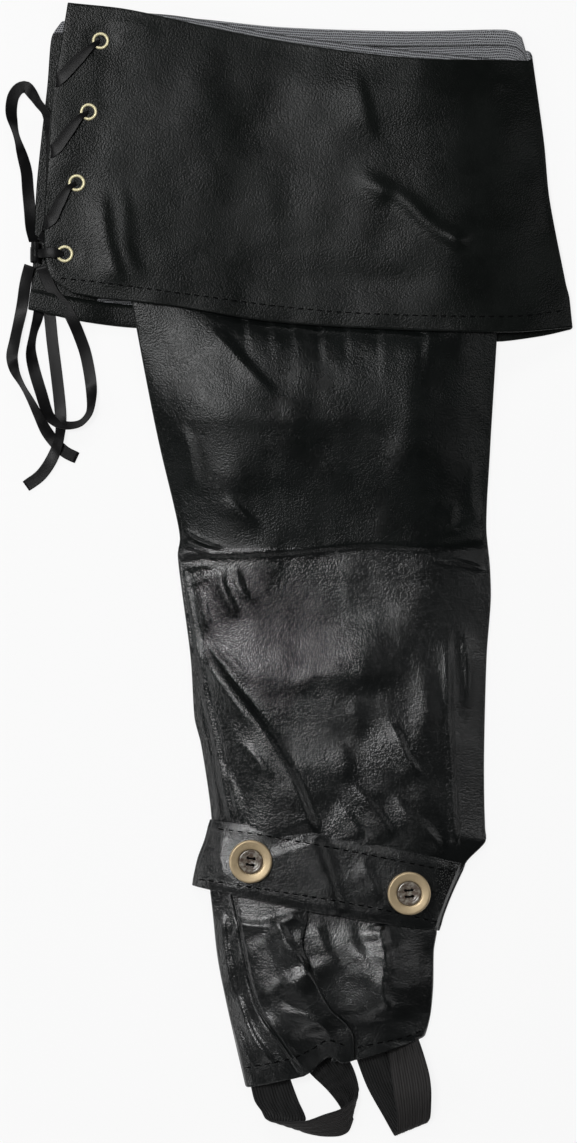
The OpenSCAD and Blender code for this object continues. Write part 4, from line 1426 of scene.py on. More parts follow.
    def build(self, cuff: bpy.types.Object) -> list:
        """Makes the leg.

        Args:
            cuff: the cuff that covers its top.

        Returns:
            Its pieces.
        """
        across = shares_along(self.wide, 1.7)
        fine = np.linspace(-14, 14, 41) / self.tall + self.crease_share
        down = np.unique(np.round(np.concatenate([shares_along(self.tall, 1.7), fine]), 5))
        plan = patch(self.top, self.low, self.left, self.right, across, down)
        valley = Fold(self.crease, 1.5, 1.3, STEP, 16, (0.01, 0.01))
        seam = Fold(self.seam, -0.8, 0.9, CREASE, ends=(0.1, 0.05))
        folds = (valley, seam) + self.upper_folds + self.crease_folds + self.lower_folds
        level = self.levels(plan[..., 1], np.broadcast_to(across, plan.shape[:2]))
        front = face(plan, level, folds, 11, 0.3, 52)
        pressed(front, cuff, 3.2, 5.0)
        across = shares_along(self.wide, 5)
        plan = patch(self.back_top, self.low, self.left, self.right, across, down)
        back_level = np.interp(plan[..., 1], [-152, -135, -10, 60, 110, 140], [1.25, 0.1, 0.1, 0.8, 2.4, 3.3])
        outer = tube(front, under(plan, back_level))
        leg = dress(shell("leg", outer, FABRIC, closed=True), LEG_LEATHER, KNIT, UPPER_LEATHER)
        fold_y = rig.box("leg_front_lower")[1].y
        for polygon in leg.data.polygons:
            if polygon.material_index == 0 and polygon.center.y > fold_y:
                polygon.material_index = 2
        return [leg]


@dataclass
class AnkleBand:
    """The band round the ankle, hemmed and stitched along both edges, with a folded end.

    Args:
        wide, tall: its size in millimetres, by which its mesh is divided.
    """

    wide: float = 140
    tall: float = 37
    up: tuple = ((-46.9, -132.8), (-12, -136.3), (21.5, -141.6), (64, -150.3), (87.7, -156.2))
    low: tuple = ((-56.4, -167.4), (-30.5, -172.7), (0.3, -179.4), (32, -185.2), (73.9, -191.4))
    left: tuple = ((-46.9, -132.8), (-49.6, -143.4), (-53.3, -153.4), (-56.4, -167.4))
    right: tuple = ((87.7, -156.2), (80.8, -171), (76.1, -183.1), (73.9, -191.4))
    upper_stitch: tuple = ((-44, -136.3), (-20.9, -139.7), (21.5, -147.4), (51.7, -153.4), (82.5, -159.5))
    lower_stitch: tuple = ((-53.8, -163.3), (-18.3, -168.8), (22.5, -175.4), (49, -180.6), (74.5, -186.4))
    folds: tuple = (
        Fold(((84.2, -156), (78.5, -172), (71.5, -190)), -1.1, 1.0, CREASE, ends=(0.05, 0.05)),
        Fold(((24, -184), (17, -160), (9, -138)), 2.0, 2.6, STEP, 40, (0.1, 0.1)),
        Fold(((44, -176), (40, -164), (32, -150)), 1.2, 1.2, STEP, 10, (0.3, 0.4)),
        Fold(((66, -176), (62, -166), (54, -160)), 0.9, 1.6, STEP, 8, (0.3, 0.3)),
        Fold(((-38, -166), (-42, -152), (-40, -138)), 0.8, 3.0, SWELL, ends=(0.3, 0.3)),
    )

    def build(self) -> list:
        """Makes the band and its two rows of stitches.

        Returns:
            The pieces.
        """
        across = shares_along(self.wide, 1.5)
        down = shares_along(self.tall, 1.3, 0.5)
        plan = patch(self.up, self.low, self.left, self.right, across, down)
        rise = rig.box("ankle_strap_front")[1].z / MM - 2 * FABRIC - 0.3
        rim = ramp(down / 0.1) * ramp((1 - down) / 0.1)
        level = 2.05 + rise * swell(across, steep=True)[None] - 0.5 * (1 - rim[:, None])
        front = face(plan, level, self.folds, 23, 0.16, 40)
        across = shares_along(self.wide, 5)
        plan = patch(self.up, self.low, self.left, self.right, across, down)
        outer = tube(front, under(plan, 0.0))
        band = dress(shell("ankle_band", outer, FABRIC, closed=True), FOOT_LEATHER, KNIT)
        far = np.array([v.co.x for v in band.data.vertices]) / MM
        wear = band.data.attributes.new("wear", "FLOAT", "POINT")
        wear.data.foreach_set("value", WEAR_MOST * ramp((far - WEAR_X) / WEAR_WIDTH))
        upper = settled(self.upper_stitch, "band_upper_stitch", band)
        return [band, stitches("band_upper_stitches", band, upper),
                stitches("band_lower_stitches", band, self.lower_stitch)]


def seam_line() -> tuple:
    """The seam between the foot's gore and its middle panel."""
    return ((-36.5, -167), (-33.1, -182.6), (-30.5, -197.4), (-26.8, -216), (-21.5, -232.9),
            (-12.5, -246.7), (1.9, -267.8))


@dataclass
class FootFlap:
    """The flap over the foot: a gore, a middle panel pleated over the right one, and the back.

    Args:
        wide, tall: its size in millimetres, by which its mesh is divided.
    """

    wide: float = 95
    tall: float = 96
    gore_left: tuple = (
        (-48, -166), (-47.2, -170.9), (-45.8, -182.6), (-43.2, -206.4), (-38.4, -230.8), (-34.2, -249.4),
        (-28.4, -274.3))
    seam: tuple = seam_line()
    pleat: tuple = (
        (4.8, -174), (3.8, -186), (1.9, -199), (7.7, -213.9), (15.1, -229.2), (27.8, -245.1), (28.9, -258.9))
    right: tuple = (
        (73.2, -188), (72.9, -192.7), (71.3, -202.2), (70.9, -222), (69.4, -237), (66.5, -247.8),
        (63.9, -249.4))
    gore_top: tuple = ((-48, -166), (-36.5, -167))
    middle_top: tuple = ((-36.5, -167), (4.8, -174))
    right_top: tuple = ((-3, -173), (35, -181), (73.2, -188))
    gore_hem: tuple = ((-28.4, -274.3), (-15.6, -271.9), (1.9, -267.8))
    middle_hem: tuple = ((1.9, -267.8), (6.1, -265.3), (15.6, -257.4), (22.5, -260.8), (28.9, -258.9))
    right_hem: tuple = ((17, -260), (32.1, -258.6), (63.9, -249.4))
    gore_stitch: tuple = ((-29.5, -263.8), (-17.2, -261.6), (-4, -258.6))
    middle_stitch: tuple = ((-3, -258), (6.6, -253.1), (15, -248.5), (25, -251.5))
    right_stitch: tuple = ((30, -252.4), (41.6, -249.9), (54.9, -247), (65.5, -243))
    folds: tuple = (
        Fold(((1, -180), (-10, -184.5), (-20, -187), (-28, -186.5), (-34, -184.5)), 2.4, 0.8, STEP,
             5, (0.15, 0.1)),
        Fold(((10, -222), (2, -206), (-5, -196), (-8, -190), (-13, -184)), 2.6, 0.9, STEP, 14,
             (0.3, 0.15)),
        Fold(((14, -236), (0, -224), (-8, -212), (-12, -200)), 1.2, 2.4, STEP, 10, (0.4, 0.4)),
        Fold(((22, -250), (6, -236), (-6, -232), (-16, -222)), 1.5, 1.8, STEP, 9, (0.3, 0.4)),
        Fold(((2, -262), (-8, -248), (-18, -232)), 1.4, 1.4, STEP, 7, (0.2, 0.3)),
        Fold(((51, -236), (46, -222), (48, -208), (43.5, -186)), 3.4, 0.8, STEP, 9, (0.2, 0.1)),
        Fold(((40, -226), (38, -212), (30, -196), (28, -184)), 1.5, 2.0, STEP, 10, (0.4, 0.2)),
        Fold(((24, -214), (16, -202), (10, -186)), 1.6, 1.6, STEP, 8, (0.4, 0.2)),
        Fold(((-34, -226), (-38, -204), (-40, -180)), 1.6, 1.4, STEP, 5, (0.2, 0.2)),
        Fold(((-12, -262), (-24, -246), (-33, -222)), 1.8, 1.2, STEP, 7, (0.2, 0.3)),
        Fold(((-20, -268), (-28, -254), (-34, -238)), 1.2, 1.2, STEP, 6, (0.2, 0.3)),
        Fold(((68, -238), (64, -214), (66, -194)), 1.0, 2.0, STEP, 7, (0.3, 0.3)),
        Fold(((12, -246), (4, -226), (-4, -210)), 2.2, 15.0, SWELL, ends=(0.2, 0.2)),
        Fold(((46, -240), (44, -216), (42, -196)), 2.4, 14.0, SWELL, ends=(0.2, 0.2)),
        Fold(seam_line(), -1.3, 0.9, SWELL, ends=(0.05, 0.05)),
    )

    def level(self, plan: np.ndarray, lift: float) -> np.ndarray:
        """The height of the front face at each point of a panel's plan.

        Args:
            plan: the panel's grid in plan.
            lift: how much higher its right side lies.

        Returns:
            The heights.
        """
        y = plan[..., 1]
        left = np.interp(-y, [-p[1] for p in self.gore_left], [p[0] for p in self.gore_left])
        right = np.interp(-y, [-p[1] for p in self.right], [p[0] for p in self.right])
        u = np.clip((plan[..., 0] - left) / (right - left), 0, 1)
        rise = np.interp(y, [-270, -240, -200, -170], [7.2, 8, 8, 6.2])
        sewn = ramp((-y - 235) / 20)
        form = (1 - sewn) * swell(u) + sewn * swell(u, steep=True)
        own = np.linspace(0, 1, plan.shape[1])
        return 1.15 + FABRIC + rise * form + lift * ramp((own - 0.4) / 0.3)

    def panel(self, name: str, top: tuple, hem: tuple, left: tuple, right: tuple, lift: float,
              seed: int) -> bpy.types.Object:
        """Makes one panel of the front, hemmed at the bottom.

        Args:
            name: the panel's name.
            top, hem, left, right: its outlines.
            lift: how much higher its right side lies.
            seed: for its ripples.

        Returns:
            The object.
        """
        width = math.dist(hem[0], hem[-1])
        across = shares_along(max(width, 24), 1.4, 0.5)
        down = shares_along(self.tall, 1.5, 0.5)
        plan = patch(top, hem, left, right, across, down)
        grid = face(plan, self.level(plan, lift), self.folds, seed, 0.3, 34)
        grid = turned_under(grid, 0.8, 9.0)
        return dress(shell(name, grid, 0.7), FOOT_LEATHER, KNIT)

    def build(self) -> list:
        """Makes the panels, the back and the stitches.

        Returns:
            The pieces.
        """
        behind = tuple((x - 8, y + 1) for x, y in self.pleat[:-1]) + (self.right_hem[0],)
        gore = self.panel("foot_gore_panel", self.gore_top, self.gore_hem, self.gore_left, self.seam, 0, 31)
        middle = self.panel("foot_middle_panel", self.middle_top, self.middle_hem, self.seam, self.pleat,
                            2.3, 32)
        side = self.panel("foot_right_panel", (behind[0],) + self.right_top[1:], self.right_hem, behind,
                          self.right, 0, 33)
        hem = ((-28.6, -271.5), (1.9, -264.8), (32.1, -255.6), (63.9, -247.4))
        plan = patch(((-47, -171), (10, -181.5), (72.9, -192.7)), hem, self.gore_left[1:], self.right[1:],
                     shares_along(self.wide, 4), shares_along(self.tall, 3))
        back = dress(shell("foot_back_panel", under(plan, 0.05), FABRIC), FOOT_LEATHER, KNIT)
        return [gore, middle, side, back,
                stitches("gore_hem_stitches", gore, self.gore_stitch),
                stitches("middle_hem_stitches", middle, self.middle_stitch),
                stitches("side_hem_stitches", side, settled(self.right_stitch, "foot_hem_stitch", side))]


# ---- Lacing and bow ----------------------------------------------------------------------------


@dataclass
class Ribbon:
    """A satin ribbon along a route, with twists.

    Args:
        name: the piece's name.
        route: its middle line, in metres.
        twists: share of its length and the angle to which it has turned there, in degrees.
        width, thick: of the ribbon, in metres.
    """

    name: str
    route: tuple
    twists: tuple = ((0, 0), (1, 0))
    width: float = 0.006
    thick: float = 0.00045

    def turns(self, count: int) -> np.ndarray:
        """How far it has turned at even steps, in radians."""
        return np.radians(np.interp(np.linspace(0, 1, count), *zip(*self.twists)))

    def line(self) -> np.ndarray:
        """Its middle line, in millimetres, raised where a twist would touch the floor."""
        line = smooth_line(np.array(self.route) / MM, max(24, int(self.span() / 0.0014)))
        turn = self.turns(len(line))
        line[:, 2] = np.maximum(line[:, 2], 0.3 + self.width / MM / 2 * np.abs(np.sin(turn)))
        return line

    def span(self) -> float:
        """The length of its route, in metres."""
        return float(np.linalg.norm(np.diff(np.array(self.route), axis=0), axis=1).sum())

    def build(self) -> bpy.types.Object:
        """Makes the ribbon."""
        line = self.line()
        turn = np.convolve(np.pad(self.turns(len(line)), 4, "edge"), np.ones(9) / 9, "valid")[:, None]
        along = np.gradient(line, axis=0)
        along /= np.linalg.norm(along, axis=1, keepdims=True)
        side = np.cross(np.array([0, 0, 1.0]), along)
        side /= np.linalg.norm(side, axis=1, keepdims=True) + 1e-9
        up = np.cross(along, side)
        across = (side * np.cos(turn) + up * np.sin(turn)) * self.width / MM / 2
        obj = strip(self.name, line + across, line - across, self.thick / MM, RIBBON_COLUMNS,
                    camber=0.06)
        return dress(obj, RIBBON, RIBBON)


@dataclass
class Bow:
    """The bow at the lowest eyelet: a knot, two loops and two tails."""

    upper: tuple = (
        (-0.141, 0.1748, 0.004), (-0.1427, 0.182, 0.002), (-0.1435, 0.1915, 0.0008),
        (-0.1445, 0.202, 0.0005), (-0.1455, 0.213, 0.0005), (-0.149, 0.2255, 0.0005),
        (-0.152, 0.236, 0.0005), (-0.1535, 0.244, 0.0005), (-0.1525, 0.252, 0.0005),
        (-0.1495, 0.2565, 0.0005), (-0.1455, 0.2575, 0.0006), (-0.1415, 0.253, 0.0012),
        (-0.1385, 0.2485, 0.003), (-0.135, 0.244, 0.0042), (-0.1325, 0.236, 0.0045),
        (-0.1315, 0.222, 0.0045), (-0.132, 0.205, 0.0045), (-0.1325, 0.19, 0.0048),
        (-0.1345, 0.1795, 0.005), (-0.137, 0.1749, 0.005))
    lower: tuple = (
        (-0.1366, 0.1618, 0.0045), (-0.1353, 0.157, 0.0038), (-0.133, 0.152, 0.0035),
        (-0.13, 0.1465, 0.0034), (-0.1245, 0.1405, 0.0034), (-0.1205, 0.133, 0.0033),
        (-0.1175, 0.126, 0.002), (-0.114, 0.116, 0.0008), (-0.1115, 0.1035, 0.0005),
        (-0.1105, 0.093, 0.0005), (-0.1115, 0.084, 0.0008), (-0.116, 0.0785, 0.0015),
        (-0.122, 0.077, 0.0019), (-0.128, 0.078, 0.0019), (-0.1335, 0.0825, 0.0015),
        (-0.1375, 0.0945, 0.0012), (-0.1415, 0.108, 0.001), (-0.143, 0.117, 0.0009),
        (-0.1415, 0.127, 0.0009), (-0.1395, 0.134, 0.00125), (-0.138, 0.142, 0.00125),
        (-0.1375, 0.15, 0.00125), (-0.138, 0.157, 0.00125), (-0.1388, 0.1618, 0.0013))
    left_tail: tuple = (
        (-0.1434, 0.162, 0.0048), (-0.145, 0.156, 0.0035), (-0.1462, 0.15, 0.0024),
        (-0.1472, 0.143, 0.0012), (-0.1485, 0.136, 0.0006), (-0.15, 0.129, 0.0005),
        (-0.1515, 0.122, 0.0005), (-0.153, 0.114, 0.0005), (-0.1515, 0.107, 0.0005), (-0.148, 0.1, 0.00035),
        (-0.143, 0.091, 0.00035), (-0.1385, 0.082, 0.00035), (-0.1345, 0.074, 0.00035),
        (-0.1295, 0.0675, 0.00035), (-0.1245, 0.063, 0.00035), (-0.1185, 0.06, 0.00035))
    centre_tail: tuple = (
        (-0.138, 0.1616, 0.0006), (-0.1365, 0.1565, 0.0004), (-0.135, 0.148, 0.00035),
        (-0.133, 0.1365, 0.00035), (-0.1315, 0.122, 0.00035), (-0.1295, 0.106, 0.00035),
        (-0.128, 0.093, 0.0005), (-0.127, 0.082, 0.001), (-0.127, 0.075, 0.00115),
        (-0.1285, 0.067, 0.00115), (-0.1325, 0.058, 0.001), (-0.138, 0.0505, 0.0005),
        (-0.1455, 0.045, 0.00035))

    def ribbons(self) -> dict:
        """The CAD node of each ribbon with the ribbon and what its far end is."""
        upper = ((0, 30), (0.1, 0), (0.26, 20), (0.33, 78), (0.4, 10), (0.5, 0), (0.58, 60), (0.66, 20),
                 (1, 30))
        lower = ((0, 10), (0.12, 0), (0.36, 5), (0.44, 60), (0.5, 50), (0.62, 10), (0.72, 0), (0.8, 65),
                 (0.88, 20), (1, 0))
        left = ((0, 20), (0.15, 0), (0.33, 25), (0.44, 0), (0.56, 72), (0.7, 45), (0.85, 0), (1, 0))
        centre = ((0, 0), (0.3, 5), (0.62, 0), (0.74, 40), (0.84, 0), (1, 0))
        return {
            "bow_loop_upper": (Ribbon("ribbon_loop_upper", self.upper, upper), "object"),
            "bow_loop_lower": (Ribbon("ribbon_loop_lower", self.lower, lower), "object"),
            "bow_tail_left": (Ribbon("ribbon_tail_left", self.left_tail, left), "bare"),
            "bow_tail_centre": (Ribbon("ribbon_tail_centre", self.centre_tail, centre), "bare"),
        }

    def build(self) -> list:
        """Returns:
            The pieces.
        """
        made = []
        for node, (ribbon, end) in self.ribbons().items():
            obj = ribbon.build()
            path = ribbon.line() * MM
            length = float(np.linalg.norm(np.diff(path, axis=0), axis=1).sum())
            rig.cord(obj, path[0], length, ribbon.width, end, "limp", "loose", path=path)
            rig.replaces(put(obj, "shaft_upper", "satin_ribbon"), node)
            made.append(obj)
        return made + [self.knot()]

    def knot(self) -> bpy.types.Object:
        """Makes the knot: a ribbon wound round the crossing."""
        low, high = (np.array(v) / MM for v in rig.box("bow_knot"))
        middle, half = (low + high) / 2, (high - low) / 2
        turns = np.linspace(0, 1, 90)
        angle = 2 * np.pi * 2.4 * turns
        line = np.stack([middle[0] + (half[0] - 0.5) * np.cos(angle),
                         middle[1] + (turns - 0.5) * half[1] + 0.8 * np.sin(angle),
                         middle[2] + (half[2] - 0.7) * np.sin(angle)], 1)
        across = np.zeros_like(line)
        across[:, 1] = 2.6
        across[:, 2] = 0.5 * np.cos(angle * 0.5)
        obj = dress(strip("bow_knot_wraps", line + across, line - across, RIBBON_THICK,
                          RIBBON_COLUMNS, camber=0.1), RIBBON, RIBBON)
        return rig.replaces(put(obj, "shaft_upper", "satin_ribbon"), "bow_knot")


# The laced edge of the cuff in plan: a place on it, and how far it goes left for each millimetre down.
CUFF_EDGE_X, CUFF_EDGE_Y, CUFF_EDGE_LEAN = -131.6, 230, 0.075


@dataclass
class Lacing:
    """Two rows of eyelets, their washers, and the ribbon that winds round the edge.

    Args:
        count: how many eyelets each row has.
        hole, rim: the eyelets' inner and outer radius, in millimetres.
    """

    count: int = 4
    hole: float = 3.0
    rim: float = 4.6

    def places(self) -> np.ndarray:
        """The eyelets' middles in plan, from the top down."""
        low, high = (np.array(v)[:2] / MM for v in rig.box("eyelets_front"))
        first, last = high - self.rim, low + self.rim
        return first + (last - first) * np.linspace(0, 1, self.count)[:, None]

    def eyelet(self, name: str, places: np.ndarray, level: float, up: int) -> bpy.types.Object:
        """Makes a row of rimmed barrels.

        Args:
            name: the piece's name.
            places: their middles in plan.
            level: height of the fabric's face under the rims.
            up: 1 for the front and -1 for the back.
        """
        r, rim = self.hole, self.rim
        profile = rounded([(r, -1.3), (r + 0.35, -1.3), (r + 0.35, 0.05), (rim - 0.2, 0.05), (rim, 0.3),
                           (rim - 0.15, 0.75), (rim - 0.5, 0.95), (r + 0.5, 0.95), (r + 0.1, 0.7),
                           (r, 0.35)], 0.12)
        at = [np.array([x, y, level]) for x, y in places]
        return turned(name, profile[::-1], 64, at, EYELET_METAL, up)

    def washers(self, name: str, node: str, places: np.ndarray) -> bpy.types.Object:
        """Makes the washers that close the eyelets on the fabric's other side."""
        low, high = (v.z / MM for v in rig.box(node))
        inner, outer = self.hole + 0.45, self.rim - 0.2
        profile = rounded([(inner, low), (inner, high), (outer, high), (outer, low)], 0.1)
        return turned(name, profile, 48, [np.array([x, y, 0]) for x, y in places], EYELET_METAL)

    def wrap(self, k: int, a: np.ndarray, b: np.ndarray, top: float, low: float) -> bpy.types.Object:
        """Makes the ribbon from one eyelet round the edge to the next one's back."""
        fold = a[1] + (b[1] - a[1]) * 0.6
        edge = CUFF_EDGE_X - (CUFF_EDGE_Y - fold) * CUFF_EDGE_LEAN
        path = smooth_line([(a[0] + 0.6, a[1] + 0.6, top - 2.6), (a[0] - 1.2, a[1] - 0.8, top - 0.6),
                            (a[0] - 4.4, a[1] - 3.0, top + 0.25),
                            ((a[0] + edge) / 2 - 1, (a[1] + fold) / 2, top + 0.3),
                            (edge + 4, fold + 4, top), (edge + 0.8, fold + 1.4, top - 0.9),
                            (edge - 0.2, fold + 0.2, top - 3.2), (edge - 0.2, fold - 0.6, low + 2.2),
                            (edge + 1.2, fold - 1.4, low + 0.3), (edge + 4, fold - 2.5, low),
                            (b[0] - 5, b[1] + 2.5, low), (b[0] - 0.5, b[1] + 0.3, low + 0.4)], 90)
        share = np.linspace(0, 1, len(path))
        wide = np.interp(share, [0, 0.08, 0.25, 0.5, 0.85, 1], [1.6, 2.6, 5.6, 6.4, 5, 3]) / 2
        along = np.gradient(path, axis=0)
        side = np.cross(along, np.array([0.0, 0, 1]))
        side[:, 2] = 0
        vertical = np.abs(along[:, 2]) / np.linalg.norm(along, axis=1)
        flat = side / (np.linalg.norm(side, axis=1, keepdims=True) + 1e-9)
        run = np.array([0.35, 0.94, 0])
        mixed = flat * (1 - vertical[:, None]) - run * vertical[:, None] * np.sign(flat @ -run)[:, None]
        mixed /= np.linalg.norm(mixed, axis=1, keepdims=True)
        return dress(strip(f"lace_{k}", path - mixed * wide[:, None], path + mixed * wide[:, None],
                           RIBBON_THICK, RIBBON_COLUMNS, camber=0.15), RIBBON, RIBBON)

    def build(self) -> list:
        """Makes the eyelets and the lace.

        Returns:
            The pieces.
        """
        places = self.places()
        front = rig.box("eyelets_front")[1].z / MM - RIM_STANDS
        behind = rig.box("eyelets_back")[0].z / MM + RIM_STANDS
        made = {
            "eyelets_front": self.eyelet("eyelet_rims_front", places, front, 1),
            "eyelets_back": self.eyelet("eyelet_rims_back", places, behind, -1),
            "washers_front": self.washers("eyelet_washers_front", "washers_front", places),
            "washers_back": self.washers("eyelet_washers_back", "washers_back", places),
        }
        for node, obj in made.items():
            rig.replaces(put(obj, "shaft_upper", "eyelet_brass"), node)
        top, low = front + 1.15, 0.35
        laces = [self.wrap(k + 1, places[k], places[k + 1], top, low) for k in range(self.count - 1)]
        laces.append(self.last(places[-1], top))
        laces.append(self.rises(places, top, low))
        for lace in laces:
            put(lace, "shaft_upper", "satin_ribbon")
        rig.replaces(laces[0], "lace")
        return [*made.values(), *laces]

    def last(self, eyelet: np.ndarray, top: float) -> bpy.types.Object:
        """Makes the ribbon from the lowest eyelet into the knot."""
        knot = (np.array(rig.box("bow_knot")[0]) + np.array(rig.box("bow_knot")[1])) / 2 / MM
        path = smooth_line([(eyelet[0] + 0.6, eyelet[1], top - 2.6), (eyelet[0] - 1.4, eyelet[1], top - 0.5),
                            (eyelet[0] - 5, eyelet[1] + 0.4, top + 0.3), (-133.5, knot[1] + 0.4, top),
                            (-137, knot[1], top - 1.2), (knot[0] + 0.5, knot[1], top - 3)], 40)
        wide = np.interp(np.linspace(0, 1, 40), [0, 0.15, 0.4, 0.7, 1], [0.8, 1.5, 2.7, 2.6, 2.0])
        side = np.zeros_like(path)
        side[:, 1] = wide
        return dress(strip("lace_to_knot", path + side, path - side, RIBBON_THICK, RIBBON_COLUMNS,
                          camber=0.2), RIBBON, RIBBON)

    def rises(self, places: np.ndarray, top: float, low: float) -> bpy.types.Object:
        """Makes the gathered ribbon inside each eyelet, between the back and the front."""
        profile = rounded([(0.05, low), (1.5, low), (1.1, (low + top) / 2), (1.5, top - 2.2),
                           (0.05, top - 2.0)], 0.2)
        return turned("lace_in_eyelets", profile, 24, [np.array([x, y, 0]) for x, y in places], RIBBON)


# ---- Buttons -----------------------------------------------------------------------------------


BUTTON_SIDES = 128


@dataclass
class Button:
    """A four-hole button: a turned metal rim, a horn-like insert and the thread.

    Args:
        side: left or right, as in the CAD's node names.
        turn: how far its holes are turned, in degrees.
    """

    side: str
    turn: float = 0.0

    def build(self) -> list:
        """Makes the button.

        Returns:
            The pieces.
        """
        low, high = (np.array(v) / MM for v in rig.box(f"button_{self.side}_rim"))
        middle = np.array([(low[0] + high[0]) / 2, (low[1] + high[1]) / 2, low[2]])
        outer, tall = (high[0] - low[0]) / 2, high[2] - low[2]
        insert_low, insert_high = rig.box(f"button_{self.side}_insert")
        inner = (insert_high.x - insert_low.x) / MM / 2
        rim = rounded([(3.4, 0), (outer - 1.2, 0), (outer - 0.3, 0.5), (outer, 1.3),
                       (outer - 0.15, tall - 0.6), (outer - 0.7, tall - 0.05), (outer - 1.5, tall - 0.08),
                       (inner + 1.4, tall - 0.3), (inner + 0.7, tall - 0.42), (inner + 0.12, tall - 1.0),
                       (inner + 0.1, 0.7), (3.4, 0.7)], 0.3)
        insert = rounded([(0.02, 0.8), (inner, 0.8), (inner, 2.0), (inner - 0.8, 2.35), (inner - 1.7, 2.1),
                          (inner - 2.3, 1.7), (0.02, 1.55)], 0.4)
        plate = turned(f"button_{self.side}_horn", insert, BUTTON_SIDES, [middle], HORN)
        self.drill(plate, middle)
        made = {
            "rim": turned(f"button_{self.side}_metal", rim, BUTTON_SIDES, [middle], BUTTON_METAL),
            "insert": plate,
            "thread": self.thread(middle),
        }
        slots = {"rim": "button_metal", "insert": "button_horn", "thread": "sewing_thread"}
        for part, obj in made.items():
            put(obj, f"button_{self.side}", slots[part])
            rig.replaces(obj, f"button_{self.side}_{part}")
        return list(made.values())

    def holes(self) -> list:
        """The four holes' places from the button's middle."""
        t = math.radians(45 + self.turn)
        return [(2.4 * math.cos(t + k * math.pi / 2), 2.4 * math.sin(t + k * math.pi / 2)) for k in range(4)]

    def drill(self, plate: bpy.types.Object, middle: np.ndarray) -> None:
        """Cuts the four holes through the insert."""
        for x, y in self.holes():
            ring = rounded([(0.01, -1), (0.75, -1), (0.75, 1.55), (1.15, 2.4), (1.15, 4), (0.01, 4)], 0.1)
            points, faces, uv = lathe(ring, 28)
            cutter = new_object("cutter", points + middle + np.array([x, y, 0]), faces, uv)
            cut = plate.modifiers.new("hole", "BOOLEAN")
            cut.object, cut.solver = cutter, "EXACT"
            bpy.context.view_layer.update()
            mesh = bpy.data.meshes.new_from_object(plate.evaluated_get(bpy.context.evaluated_depsgraph_get()))
            plate.modifiers.clear()
            plate.data = mesh
            bpy.data.objects.remove(cutter)

    def thread(self, middle: np.ndarray) -> bpy.types.Object:
        """Makes the two pairs of threads across the holes and down through them."""
        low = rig.box(f"button_{self.side}_thread")[0].z / MM - middle[2]
        points, faces = [], []
        holes = self.holes()
        for a, b in ((holes[0], holes[1]), (holes[2], holes[3])):
            for off in (-0.22, 0.22):
                away = np.array([b[1] - a[1], a[0] - b[0]]) / math.dist(a, b) * off
                p, q = np.array(a) + away, np.array(b) + away
                path = smooth_line([(*p, low), (*p, 1.2), (*(p * 0.94 + q * 0.06), 2.0),
                                    (*((p + q) / 2), 2.25), (*(q * 0.94 + p * 0.06), 2.0), (*q, 1.2),
                                    (*q, low)], 30)
                first = len(points)
                along = np.gradient(path, axis=0)
                along /= np.linalg.norm(along, axis=1, keepdims=True)
                side = np.cross(along, np.array([*(away / 0.22), 0]))
                for j in range(len(path)):
                    for k in range(8):
                        t = math.pi * k / 4
                        out = math.cos(t) * np.array([*(away / abs(off)), 0]) + math.sin(t) * side[j]
                        points.append(path[j] + middle + 0.24 * out)
                faces += ring_faces(first, len(path), 8)
        return dress(new_object(f"button_{self.side}_sewing", np.array(points), faces), THREAD)


# ---- Stirrups ----------------------------------------------------------------------------------


@dataclass
class Stirrup:
    """An elastic stirrup: a ribbed band from the hem, round and back to it.

    Args:
        side: left or right.
        edge_a, edge_b: its two edges, place by place, in millimetres.
    """

    side: str
    edge_a: tuple
    edge_b: tuple

    def build(self) -> list:
        """Makes the loop and its sewn-in ends.

        Returns:
            The pieces.
        """
        steps = 120
        a = smooth_line(self.edge_a, steps, even=False)
        b = smooth_line(self.edge_b, steps, even=False)
        loop = strip(f"stirrup_{self.side}_elastic", a, b, ELASTIC_THICK, ELASTIC_COLUMNS,
                     ribs=ELASTIC_RIBS, rib_height=0.35)
        dress(loop, ELASTIC, ELASTIC_BACK)
        length = float(np.linalg.norm(np.diff((a + b) / 2, axis=0), axis=1).sum()) * MM
        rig.sheet(loop, (0.020, length), "laid", rests_on=["floor"])
        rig.replaces(put(loop, f"stirrup_{self.side}", "elastic"), f"stirrup_{self.side}")
        made = [loop]
        for k, (p, q) in enumerate(((a, b), (a[::-1], b[::-1]))):
            start_a, start_b = p[0], q[0]
            into = np.array([-0.26, 0.966, 0.0]) * 9
            line = np.linspace(0, 1, 14)[:, None]
            end = strip(f"stirrup_{self.side}_end_{k + 1}", start_a + into * line, start_b + into * line,
                        ELASTIC_THICK, ELASTIC_COLUMNS, ribs=ELASTIC_RIBS, rib_height=0.3)
            dress(end, ELASTIC, ELASTIC_BACK)
            put(end, "foot", "elastic")
            made.append(end)
        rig.replaces(made[1], f"stirrup_{self.side}_ends")
        return made


LEFT_STIRRUP = Stirrup(
    "left",
    ((-27, -268, 2.2), (-25.7, -274.8, 2), (-23.6, -282.8, 1.6), (-19.9, -288.1, 1.6), (-17.5, -291.3, 4.5),
     (-12, -292.3, 7.5), (3.4, -291.7, 10), (13, -288.2, 11.5), (21.5, -285.4, 11), (27, -281.5, 8.5),
     (30.3, -279.5, 5), (31, -277.5, 2.5), (31.5, -274.5, 1.8), (30, -268.5, 1.8), (27.5, -262.5, 2.2),
     (24, -257, 2.4)),
    ((-6.5, -262.5, 2.2), (-5, -270, 2), (-0.8, -281.7, 1.6), (3.4, -291.8, 1), (1, -297.3, 0.8),
     (3.5, -298.8, 0.8), (10.9, -300.8, 0.7), (20.9, -300.8, 0.7), (26, -298.3, 1), (28.4, -292, 1.5),
     (26.2, -297.5, 1.2), (25, -294, 0.8), (21.5, -285.4, 0.8), (15.1, -276.9, 1.4), (6.5, -268.5, 2.2),
     (2.5, -263.5, 2.4)))
